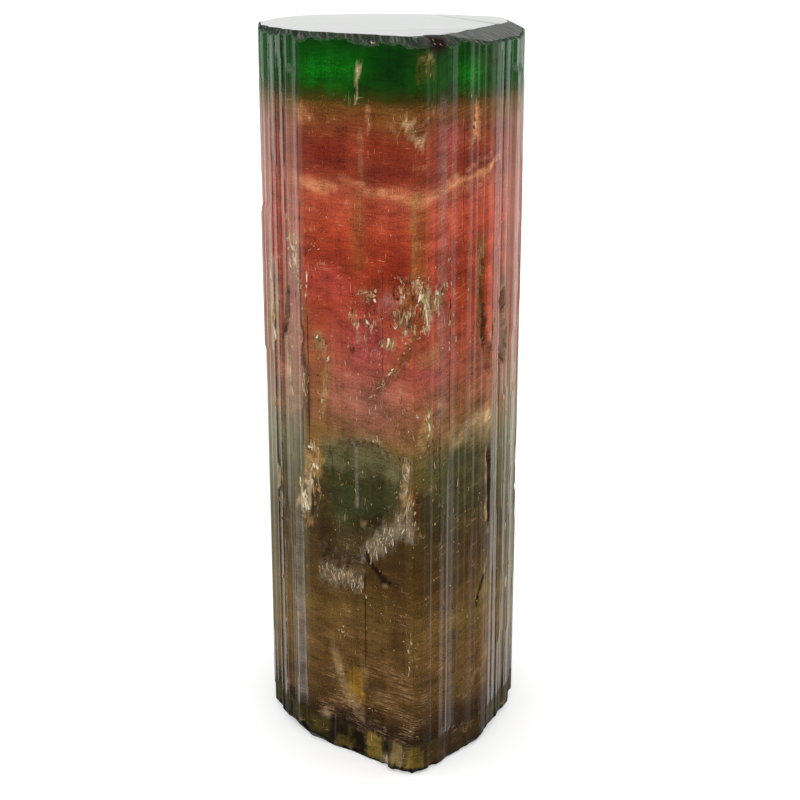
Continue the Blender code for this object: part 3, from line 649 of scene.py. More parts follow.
    (MOSS, 0.4, patch(1, -18.4, 0.2, -12.9, 0.2, -13.1, 2.8, -18.2, 4)),
    (SHADOW, 0.7, patch(0.9, -15.8, 0, -13.2, 0, -13.3, 2.2, -15.6, 2.6)),
    # back of the stone, in the same manner
    # the green cap's bright and black-green blots: painted glow and shade of light inside the stone
    (BRIGHT_GREEN, 0.8, blot(31, 57.2, 3, 1.5)),
    (BLACK_GREEN, 0.7, blot(36, 57.6, 2.2, 1.5)),
    (MAROON, 0.7, blot(33, 50.6, 3, 1.2)),
    (PEACH, 0.6, stroke(0.3, 0.35, 27, 48.4, 33, 48.9, 38, 48.2, 41, 48.8)),
    (RUST, 0.6, stroke(0.8, 0.6, 29.6, 47, 29.6, 33)),
    (RUST, 0.6, stroke(0.8, 0.6, 39, 45, 39.2, 28)),
    (ROSE, 0.6, blot(35, 37, 3, 3)),
    (SAND, 0.6, patch(0.4, *BACK_CRUST)),
    (MOSS, 0.8, blot(32, 24.5, 4, 2.4)),
    (MOSS, 0.6, blot(44, 25, 3, 2)),
    (GOLD, 0.7, patch(0.4, *BACK_HOLLOW)),
    (AMBER, 0.8, patch(0.3, *BACK_GAP)),
    (AMBER, 0.8, patch(0.3, *SIDE_GAP)),
    (OLIVE, 0.6, blot(36, 6, 2, 1.6)),
    # painted shade in the pleats at the foot of the back
    (SHADOW, 0.7, patch(0.4, 33, 0.2, 34.2, 0.2, 34, 2.6, 33.2, 2.4)),
    (SHADOW, 0.7, patch(0.4, 39, 0.2, 40.6, 0.2, 40.4, 2.3, 39.2, 2.6)),
)
stain_and_painted_light = np.zeros(S.shape + (4,))
for colour, strength, shape in STAINS_AND_PAINTED_LIGHT:
    share = (strength * shape)[..., None]
    stain_and_painted_light = stain_and_painted_light * (1 - share) + np.array(colour) * share

# Painted shade in the slits, a crack and the rim's chip hole; small splinters, fine wrinkles and frost
for line in (
    (-4.75, 18.95, -4.1, 18.15, -3.4, 17.45, -2.8, 16.9), (-3.9, 18.2, -2.9, 17.3, -2.2, 16.9),
    (7.3, 13.5, 7.8, 14.8, 8.2, 15.6),
):
    crack_shade = np.maximum(crack_shade, thread(0.12, 0.14, *line))
crack_shade = np.maximum(crack_shade, 1.4 * blot(*SHADED_CHIP_HOLE, 0.95, 0.6))
splinters = np.zeros(S.shape)
for strength, shape in (
    (0.7, patch(0.6, -9.4, 15, -5, 15.2, -4.6, 17.4, -7.6, 17.2, -9.2, 17.5)),
    (0.6, stroke(1.2, 0.6, -0.6, 22.4, -2.6, 20.8, -4.8, 18.5)),
    (0.6, patch(0.6, -1.6, 21, 0.7, 21.4, 0.7, 24.4, 0.1, 28, -1.6, 28.4, -1.4, 24)),
    (0.7, patch(0.6, -11.2, 20.4, -9.2, 20.2, -8.8, 27.4, -10.6, 27.2)),
    (0.7, patch(0.8, -6.6, 35.4, -2.6, 35.6, -2.6, 41, -6, 41)),
    (0.9, patch(0.8, -2.4, 37.8, 1.6, 37.6, 1.2, 42.6, -2.2, 42.4)),
    (0.6, patch(0.8, 1.2, 38.4, 4.4, 39, 4.4, 42.4, 1.4, 42)),
    (0.6, block(1, -12.9, -9, 38, 47)),
    (0.45, patch(0.8, -9.6, 28.4, -7.4, 28.6, -7.4, 37.2, -9.8, 37.2)),
    (0.6, patch(0.5, -13.4, 30, -12.2, 30, -12.2, 37, -13.2, 37)),
    (0.5, block(1, -2, 3, 27, 33)),
    (0.4, block(1, 2.6, 9.6, 40, 45)),
    (0.4, block(0.8, -8.8, -5.4, 18.2, 22)),
    (0.4, block(1, -17.4, -13.4, 34, 47)),
    (0.35, patch(0.8, -11.6, 51.4, -8.8, 51.6, -8.8, 54.6, -11.6, 54.6)),
    (0.7, block(0.4, -0.6, 0.4, 8, 13)),
    (0.4, block(0.6, -8, -6.2, 9, 13)),
    (0.7, block(1, 28, 32, 15, 27)),
    (0.7, block(1, 34, 39, 34, 43)),
):
    splinters = np.maximum(splinters, strength * shape)
wrinkles = patch(0.5, -9.8, 2.6, 1.4, 2.6, 1.4, 8.6, -3, 9.6, -9.8, 6.6)
wrinkles *= 1 - 0.9 * blot(-5.9, 6.8, 1.1, 1.7)
wrinkles = np.maximum(wrinkles, patch(1, 30, 2.8, 41, 2.8, 38, 8.4, 31, 7.6))
frost = soft_step(0.02, 0.15, rim_share) * (1 - 0.95 * blot(*SHADED_CHIP_HOLE, 1.1, 0.8))

# Painted sheen: the corner strips are painted paler and greyer, as the bright room's reflection
# makes them look, by place along the outline and by height
STRIP_SHEEN = (
    (-19, 0.74), (-16.2, 0.74), (-15.5, 0.15), (-13.6, 0.1), (-13.2, 0.38), (-10.9, 0.32), (-10.3, 0.03), (-9, 0),
    (7.4, 0), (9.3, 0.02), (9.9, 0.2), (12, 0.22), (12.5, 0.58), (17, 0.5), (20, 0.2), (26, 0.14), (29, 0.05),
    (41, 0.05), (43.5, 0.14), (50, 0.22), (53.6, 0.45),
)
STRIP_SHEEN_BY_HEIGHT = (
    (0, 0), (2.8, 0.04), (4.4, 0.4), (8, 0.6), (20, 0.6), (24, 0.8), (30, 1), (53, 1), (55.4, 0.3), (60, 0.22),
)
strip_sheen = np.interp(S, *zip(*STRIP_SHEEN), period=GIRTH) * np.interp(Z, *zip(*STRIP_SHEEN_BY_HEIGHT))
# Painted shade along the foot's lowest edge, where it meets the floor
foot_shade = soft_step(1.7, 1.15, heights / foot_height[None, :])

# The mesh: the sides as a grid, the top filled in with more points on its broken corner,
# and the foot as a flat fan
row_count, column_count = S.shape
side_points = np.stack([wall_x, wall_y, heights], -1).reshape(-1, 3)
top_ring = list(range((row_count - 1) * column_count, row_count * column_count))
ring = [tuple(place) for place in side_points[top_ring][:, :2]]
TOP_STEP = 0.45
TOP_HALF_WIDTH, TOP_HALF_DEPTH = 10.5, 12.5
RIM_MARGIN = 0.25
grid_x, grid_y = np.meshgrid(
    np.arange(-TOP_HALF_WIDTH, TOP_HALF_WIDTH + 0.1, TOP_STEP),
    np.arange(-TOP_HALF_DEPTH, TOP_HALF_DEPTH + 0.1, TOP_STEP),
)
inside_top = inside_depth(ring, grid_x, grid_y) > RIM_MARGIN
LEAST_FALL = 0.01
broken = inside_top & (top_height(grid_x, grid_y) < HEIGHT - LEAST_FALL)
inner = [Vector(place) for place in zip(grid_x[broken], grid_y[broken])]
ring_edges = [(n, (n + 1) % len(ring)) for n in range(len(ring))]
ring_points = [Vector(place) for place in ring]
filled = delaunay_2d_cdt(ring_points + inner, ring_edges, [list(range(len(ring)))], 1, 1e-5)
added = []
index_of = {}
for n, sources in enumerate(filled[3]):
    on_rim = [m for m in sources if m < len(ring)]
    if on_rim:
        index_of[n] = top_ring[on_rim[0]]
    else:
        x, y = filled[0][n]
        index_of[n] = len(side_points) + len(added)
        added.append((x, y, float(top_height(x, y))))
foot_centre = len(side_points) + len(added)
added.append((0.0, 0.0, 0.0))
body_points = np.concatenate((side_points, np.array(added))) * MM

# Each corner of a face keeps where it lies: along and up the sides, or across the top or
# the foot, set far apart from the sides, and whether it is on the top
faces = []
seen_at = []
TOP_SHIFT = 200.0
for r in range(row_count - 1):
    low = r * column_count
    high = low + column_count
    for c in range(column_count):
        d = (c + 1) % column_count
        faces.append((low + c, low + d, high + d, high + c))
        right = columns[d] if d else columns[0] + GIRTH
        seen_at += [
            (columns[c], heights[r, c], 0.0), (right, heights[r, d], 0.0),
            (right, heights[r + 1, d], 0.0), (columns[c], heights[r + 1, c], 0.0),
        ]
side_faces = len(faces)
for triangle in filled[2]:
    face = tuple(index_of[n] for n in triangle)
    faces.append(face)
    seen_at += [(body_points[n][0] / MM + TOP_SHIFT, body_points[n][1] / MM, 1.0) for n in face]
for c in range(column_count):
    face = (foot_centre, (c + 1) % column_count, c)
    faces.append(face)
    seen_at += [(body_points[n][0] / MM - TOP_SHIFT, body_points[n][1] / MM, 0.0) for n in face]

body = bpy.data.meshes.new("crystal_body")
body.from_pydata(body_points, [], faces)
body.update()
VALUE_KINDS = {
    "FLOAT": (1, "POINT", "value"), "FLOAT_COLOR": (4, "POINT", "color"), "FLOAT_VECTOR": (3, "CORNER", "vector"),
}


def keep_values(mesh, name, kind, values):
    """Stores one value for each point of a mesh, or for each corner of its faces."""
    size, domain, field = VALUE_KINDS[kind]
    attribute = mesh.attributes.new(name, kind, domain)
    flat = np.zeros(len(attribute.data) * size, np.float32)
    given = np.asarray(values, np.float32).reshape(-1)
    flat[: len(given)] = given
    attribute.data.foreach_set(field, flat)


def set_down(name, data):
    """A new object in the scene, made of this mesh or camera."""
    placed = bpy.data.objects.new(name, data)
    bpy.context.scene.collection.objects.link(placed)
    return placed


keep_values(body, "seen_at", "FLOAT_VECTOR", seen_at)
keep_values(body, "stain_and_painted_light", "FLOAT_COLOR", stain_and_painted_light)
for name, layer in (
    ("crack_shade", crack_shade), ("splinters", splinters), ("wrinkles", wrinkles), ("frost", frost),
    ("foot_shade", foot_shade), ("strips", strips), ("strip_sheen", strip_sheen), ("scar_wall", scar_wall),
):
    keep_values(body, name, "FLOAT", layer)

SHARP = math.radians(24.0)
shape = bmesh.new()
shape.from_mesh(body)
open_edges = [edge for edge in shape.edges if len(edge.link_faces) < 2]
bmesh.ops.holes_fill(shape, edges=open_edges, sides=4)
bmesh.ops.recalc_face_normals(shape, faces=shape.faces[:])
for edge in shape.edges:
    edge.smooth = edge.calc_face_angle(0.0) < SHARP
for n, face in enumerate(shape.faces):
    face.smooth = n < side_faces
shape.to_mesh(body)
shape.free()
crystal = set_down("crystal_body", body)


# The stone's substance: glossy, see-through tourmaline, zoned in colour end to end.
# Its colour lies in flat zones, with veils, fibres, stains and cracks within them, painted shade
# in its cracks, pits, hollows and pleats, and a painted sheen and highlights on the corner strips.
class Value:
    """A shader value: sums written with it add the Math nodes they need."""

    def __init__(self, made, socket):
        self.made = made
        self.socket = socket

    def math(self, operation, *terms):
        sockets = dict(enumerate(terms))
        return Value(self.made, self.made.node("ShaderNodeMath", {"operation": operation}, sockets).outputs[0])

    def __add__(self, other):
        return self.math("ADD", self, other)

    def __sub__(self, other):
        return self.math("SUBTRACT", self, other)

    def __rsub__(self, other):
        return self.math("SUBTRACT", other, self)

    def __mul__(self, other):
        return self.math("MULTIPLY", self, other)

    def most(self, other):
        """The larger of two values."""
        return self.math("MAXIMUM", self, other)

    def least(self, other):
        """The smaller of two values."""
        return self.math("MINIMUM", self, other)

    def rise(self, low, high):
        """Smooth rise from 0 at low to 1 at high, or a fall where low is the larger."""
        settings = {"interpolation_type": "SMOOTHSTEP"}
        sockets = {"Value": self, "From Min": low, "From Max": high}
        return Value(self.made, self.made.node("ShaderNodeMapRange", settings, sockets).outputs["Result"])

    __radd__ = __add__
    __rmul__ = __mul__


RELIEF_STRENGTH = 0.6
RELIEF_DEPTH = 0.03


class Finish:
    """The nodes of one material or of the light around the stone."""

    def __init__(self, tree):
        self.tree = tree
        tree.nodes.clear()

    def node(self, kind, settings, sockets):
        """One node: its settings are made first, then its sockets' values or links."""
        added = self.tree.nodes.new(kind)
        for name, value in settings.items():
            if name == "stops":
                stops = added.color_ramp.elements
                while len(stops) > 1:
                    stops.remove(stops[-1])
                for n, (position, colour) in enumerate(value):
                    stop = stops[0] if n == 0 else stops.new(position)
                    stop.position = position
                    stop.color = colour
            else:
                setattr(added, name, value)
        for name, value in sockets.items():
            socket = added.inputs[name]
            if isinstance(value, Value):
                value = value.socket
            if isinstance(value, bpy.types.NodeSocket):
                self.tree.links.new(value, socket)
            else:
                socket.default_value = value
        return added

    def mix(self, share, first, second, blend="MIX"):
        """Colour between two others, by a share from 0 to 1."""
        settings = {"data_type": "RGBA", "blend_type": blend}
        return self.node("ShaderNodeMix", settings, {0: share, 6: first, 7: second}).outputs[2]

    def ramp(self, stops, share, span=1.0):
        """Colour by a share from 0 to 1. Each stop has its place on the span, then its tone."""
        toned = [(at / span, tone(*screen)) for at, *screen in stops]
        return self.node("ShaderNodeValToRGB", {"stops": toned}, {"Fac": share}).outputs["Color"]

    def lay(self, colour, *covers):
        """Colour with others laid over it in turn, each by its share."""
        for share, cover in covers:
            colour = self.mix(share, colour, cover)
        return colour

    def fine_relief(self, height):
        """Relief that is too fine for the mesh."""
        sockets = {"Height": height, "Strength": RELIEF_STRENGTH, "Distance": RELIEF_DEPTH * MM}
        return self.node("ShaderNodeBump", {}, sockets).outputs["Normal"]

    def principled(self, sockets):
        """The surface shader, with these values and links."""
        return self.node("ShaderNodeBsdfPrincipled", {}, sockets).outputs[0]

    def spot(self, across, up):
        """Place for a noise, put together from two values."""
        return self.node("ShaderNodeCombineXYZ", {}, {"X": across, "Y": up}).outputs[0]

    def vector(self, operation, sockets):
        """Vector Math on colours or places."""
        return self.node("ShaderNodeVectorMath", {"operation": operation}, sockets).outputs[0]

    def kept(self, name):
        """Value stored on the mesh."""
        return Value(self, self.node("ShaderNodeAttribute", {"attribute_name": name}, {}).outputs["Fac"])

    def noise(self, place, across, up, detail=3.0, roughness=0.55):
        """Noise from 0 to 1, with cells of these sizes in millimetres."""
        spread = self.vector("MULTIPLY", {0: place, 1: (1 / across, 1 / up, 1.0)})
        sockets = {"Vector": spread, "Scale": 1.0, "Detail": detail, "Roughness": roughness}
        return Value(self, self.node("ShaderNodeTexNoise", {"noise_dimensions": "2D"}, sockets).outputs[0])


def start_material(name):
    """A new material and its nodes, still to be added."""
    material = bpy.data.materials.new(name)
    material.use_nodes = True
    return material, Finish(material.node_tree)


tourmaline, gem = start_material("zoned_tourmaline")
place = gem.node("ShaderNodeAttribute", {"attribute_name": "seen_at"}, {}).outputs["Vector"]
place_parts = gem.node("ShaderNodeSeparateXYZ", {}, {"Vector": place})
along = Value(gem, place_parts.outputs["X"])
on_top = Value(gem, place_parts.outputs["Z"])
point = gem.node("ShaderNodeTexCoord", {}, {}).outputs["Object"]
height = Value(gem, gem.node("ShaderNodeSeparateXYZ", {}, {"Vector": point}).outputs["Z"]) * (1 / MM)

# Fibres lie level on the left of the front and climb to the right on the right of it
CLIMB = 0.30
tilted = gem.spot(along, height - along.most(0.0) * CLIMB)
lines = gem.noise(place, 0.11, 26.0, 4.0, 0.65)
stripes = gem.noise(place, 0.42, 45.0, 3.0, 0.6)
bands = gem.noise(place, 1.6, 60.0, 2.0, 0.5)
clouds = gem.noise(place, 2.6, 1.7, 5.0, 0.62)
fibres = gem.noise(tilted, 1.5, 0.12, 4.0, 0.62)
folds = gem.noise(tilted, 3.4, 0.45, 4.0, 0.6)
grit = gem.noise(place, 0.11, 0.13, 2.0, 0.6)
flakes = gem.noise(place, 0.55, 1.25, 8.0, 0.74)
dashes = gem.noise(place, 0.13, 0.62, 3.0, 0.65)
crumbs = gem.noise(place, 0.30, 0.42, 4.0, 0.7)

ZONES = (
    (0, 48, 40, 12), (2.3, 64, 54, 18), (2.8, 48, 33, 13), (3.7, 62, 42, 19), (4.6, 86, 60, 29), (5.8, 98, 70, 33),
    (9, 108, 78, 40), (13, 108, 82, 40), (16.5, 80, 56, 24), (20, 74, 54, 24), (23, 74, 62, 28), (26.5, 92, 82, 40),
    (28.2, 114, 92, 48), (30, 138, 92, 52), (33, 156, 88, 58), (36.5, 168, 77, 52), (40, 162, 60, 30),
    (43, 164, 59, 31), (46, 184, 74, 45), (48.6, 172, 82, 56), (49.6, 142, 60, 36), (51.5, 140, 56, 30),
    (53.4, 132, 70, 32), (54.6, 112, 72, 26), (55.3, 56, 58, 10), (56.2, 16, 66, 5), (58, 6, 74, 4), (60, 8, 56, 4),
)
warped = height + (clouds - 0.5) * 1.6 + (bands - 0.5) * 0.8
level = warped * (1 / HEIGHT)
colour = gem.ramp(ZONES, level, HEIGHT)

# Stains and painted shade, highlights and glow laid over the zones: their colour comes already weighed by their
# strength
MOST_COVER = 1.15
laid = gem.node("ShaderNodeAttribute", {"attribute_name": "stain_and_painted_light"}, {})
cover = ((clouds - 0.5) * 1.2 + (crumbs - 0.5) * 0.9 + 1.0).most(0.0).least(MOST_COVER)
hidden = (Value(gem, laid.outputs["Alpha"]) * cover).least(1.0)
under = gem.vector("SCALE", {0: colour, "Scale": 1 - hidden})
over = gem.vector("SCALE", {0: laid.outputs["Color"], "Scale": cover})
colour = gem.vector("ADD", {0: under, 1: over})

strip_share = gem.kept("strips")
splinter_share = gem.kept("splinters")
LIT = (1.75, 1.70, 1.65, 1.0)
SHADED = (0.45, 0.40, 0.36, 1.0)
lighter = gem.mix(1.0, colour, LIT, "MULTIPLY")
darker = gem.mix(1.0, colour, SHADED, "MULTIPLY")
shade = (
    (lines - 0.5) * (strip_share * 1.2 + 0.35) + (stripes - 0.5) * (strip_share + 0.4) + (bands - 0.5) * 0.8
    + (clouds - 0.5) * 2.2 + (fibres - 0.5) * 1.6 + (folds - 0.5) + (grit - 0.5) * 2.5
)
colour = gem.lay(colour, (shade, lighter), (shade * -1.1, darker))

# The strips' painted pale sheen, in fine lines up and down
sheen_share = gem.kept("strip_sheen") * ((lines - 0.5) * 1.4 + (stripes - 0.5) * 1.6 + 0.9).most(0.0)
SHEEN_TONES = (
    (0, 118, 106, 82), (5, 154, 144, 114), (9, 178, 171, 136), (20, 184, 178, 145), (27, 206, 200, 174),
    (33, 208, 176, 152), (45, 226, 182, 168), (53, 206, 168, 154), (56, 128, 186, 132), (60, 124, 182, 134),
)
colour = gem.mix(sheen_share, colour, gem.ramp(SHEEN_TONES, level, HEIGHT))

# Ragged white and gold flakes, thicker where the stone is crushed, with painted shade in the gaps between them
below_cap = height.rise(56.4, 55.2) * 0.93 + 0.07
chips = (flakes + splinter_share * 0.19 + (dashes - 0.5) * 0.22).rise(0.735, 0.755) * (below_cap * 0.6 + 0.4)
CHIP_TONES = ((0.36, 108, 76, 36), (0.46, 170, 138, 90), (0.56, 204, 186, 150), (0.7, 232, 224, 204))
PIT_SHADE_BROWN = tone(40, 22, 10)
SCRATCH_CREAM = tone(222, 190, 148)
VEIN_PEACH = tone(226, 176, 134)
CUT_BROWN = tone(48, 18, 8)
shaded_pits = (flakes - splinter_share * 0.13 + (dashes - 0.5) * 0.22).rise(0.30, 0.27)
scratches = gem.noise(place, 0.075, 1.3, 2.0, 0.5)
scratched = (scratches + (clouds - 0.5) * 0.5 + splinter_share * 0.10).rise(0.78, 0.83)
veins = gem.noise(tilted, 1.9, 0.075, 2.0, 0.5)
veined = (veins + (clouds - 0.5) * 0.6).rise(0.77, 0.82)
cuts = (scratches - (crumbs - 0.5) * 0.5).rise(0.20, 0.16)
colour = gem.lay(
    colour,
    (shaded_pits * (splinter_share * 0.9 + 0.08), PIT_SHADE_BROWN),
    (chips * (splinter_share * 0.6 + 0.28), gem.ramp(CHIP_TONES, crumbs)),
    (scratched * below_cap * 0.6, SCRATCH_CREAM),
    (veined * below_cap * 0.55, VEIN_PEACH),
    (cuts * 0.4, CUT_BROWN),
)

# Wrinkled skin above the foot with painted shade in its creases, frosted chips at the rim, and
# painted shade on the scar walls, in the cracks and along the foot's lowest edge
CREASE_TAN = tone(180, 142, 104)
FROST_DARK, FROST_PALE = tone(30, 38, 30), tone(104, 112, 98)
WALL_SHADE_BROWN = tone(44, 24, 10)
CRACK_SHADE_BROWN = tone(30, 14, 6)
FOOT_SHADE_BLACK = tone(14, 11, 4)
TOP_DARK, TOP_GREEN = tone(4, 40, 8), tone(26, 78, 28)
BROKEN_DARK, BROKEN_PALE = tone(52, 56, 48), tone(112, 116, 104)
creases = gem.noise(place, 2.6, 0.17, 2.5, 0.55)
net = creases.rise(0.50, 0.545) * creases.rise(0.62, 0.565)
wrinkle_share = gem.kept("wrinkles")
beside_top = 1 - on_top
frost_share = gem.kept("frost") * beside_top
streaks = gem.noise(gem.spot(along + height * 0.9, height), 0.30, 0.8, 5.0, 0.7)
crack_shade_share = gem.kept("crack_shade") * (grit * 0.5 + 0.7) * beside_top
wall_share = gem.kept("scar_wall") * beside_top
colour = gem.lay(
    colour,
    (net * wrinkle_share * clouds.rise(0.40, 0.62) * 0.75, CREASE_TAN),
    (creases.rise(0.50, 0.40) * wrinkle_share * 0.35, darker),
    (frost_share * 0.9, gem.mix(streaks.rise(0.44, 0.70), FROST_DARK, FROST_PALE)),
    (wall_share * crumbs.rise(0.62, 0.44) * 0.4, WALL_SHADE_BROWN),
    (crack_shade_share, CRACK_SHADE_BROWN),
    (gem.kept("foot_shade") * 0.9, FOOT_SHADE_BLACK),
)

# The top: dark green and smooth, with shell-like marks on the broken corner
shells = gem.noise(gem.spot(along, Value(gem, place_parts.outputs["Y"]) + along * 0.9), 2.2, 0.30, 4.0, 0.6)
below_flat = height.rise(HEIGHT - 0.03, HEIGHT - 0.06)
flat_top = gem.mix(clouds.rise(0.35, 0.7), TOP_DARK, TOP_GREEN)
broken_top = gem.mix(shells.rise(0.42, 0.62), BROKEN_DARK, BROKEN_PALE)
colour = gem.mix(on_top, colour, gem.mix(below_flat, flat_top, broken_top))

GLOSSY = 0.13
DULL = 0.9
TOURMALINE_IOR = 1.62
SEE_THROUGH = 0.30
rough = (
    GLOSSY + on_top * below_flat * shells * 0.5 + chips * 0.3 + frost_share * 0.35 + (grit - 0.5) * 0.05
    - on_top * 0.08
)
relief = (
    lines * (strip_share * 0.5 + 0.35) + stripes * 0.5 + (fibres + grit) * 0.12
    + dashes * splinter_share * 0.9 + streaks * frost_share * 0.7
) * beside_top
normal = gem.fine_relief(relief)
polished = gem.principled({
    "Base Color": colour,
    "Roughness": rough,
    "IOR": TOURMALINE_IOR,
    "Transmission Weight": SEE_THROUGH,
    "Normal": normal,
})
# Broken, crusted and cracked places are matte
matte = gem.principled({
    "Base Color": colour,
    "Roughness": DULL,
    "IOR": TOURMALINE_IOR,
    "Specular IOR Level": 0.1,
    "Normal": normal,
})
matte_share = crack_shade_share.most(wall_share * 0.9).most(frost_share * 0.8).most(height.rise(3.0, 2.4) * 0.8)
matte_share = matte_share.most(along.rise(7.9, 8.2) * along.rise(9.9, 9.6) * 0.75).most(chips * splinter_share * 0.8)
finish = gem.node("ShaderNodeMixShader", {}, {0: matte_share, 1: polished, 2: matte})
gem.node("ShaderNodeOutputMaterial", {}, {"Surface": finish.outputs[0]})
body.materials.append(tourmaline)
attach(crystal, "root")
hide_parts("tourmaline_crystal")

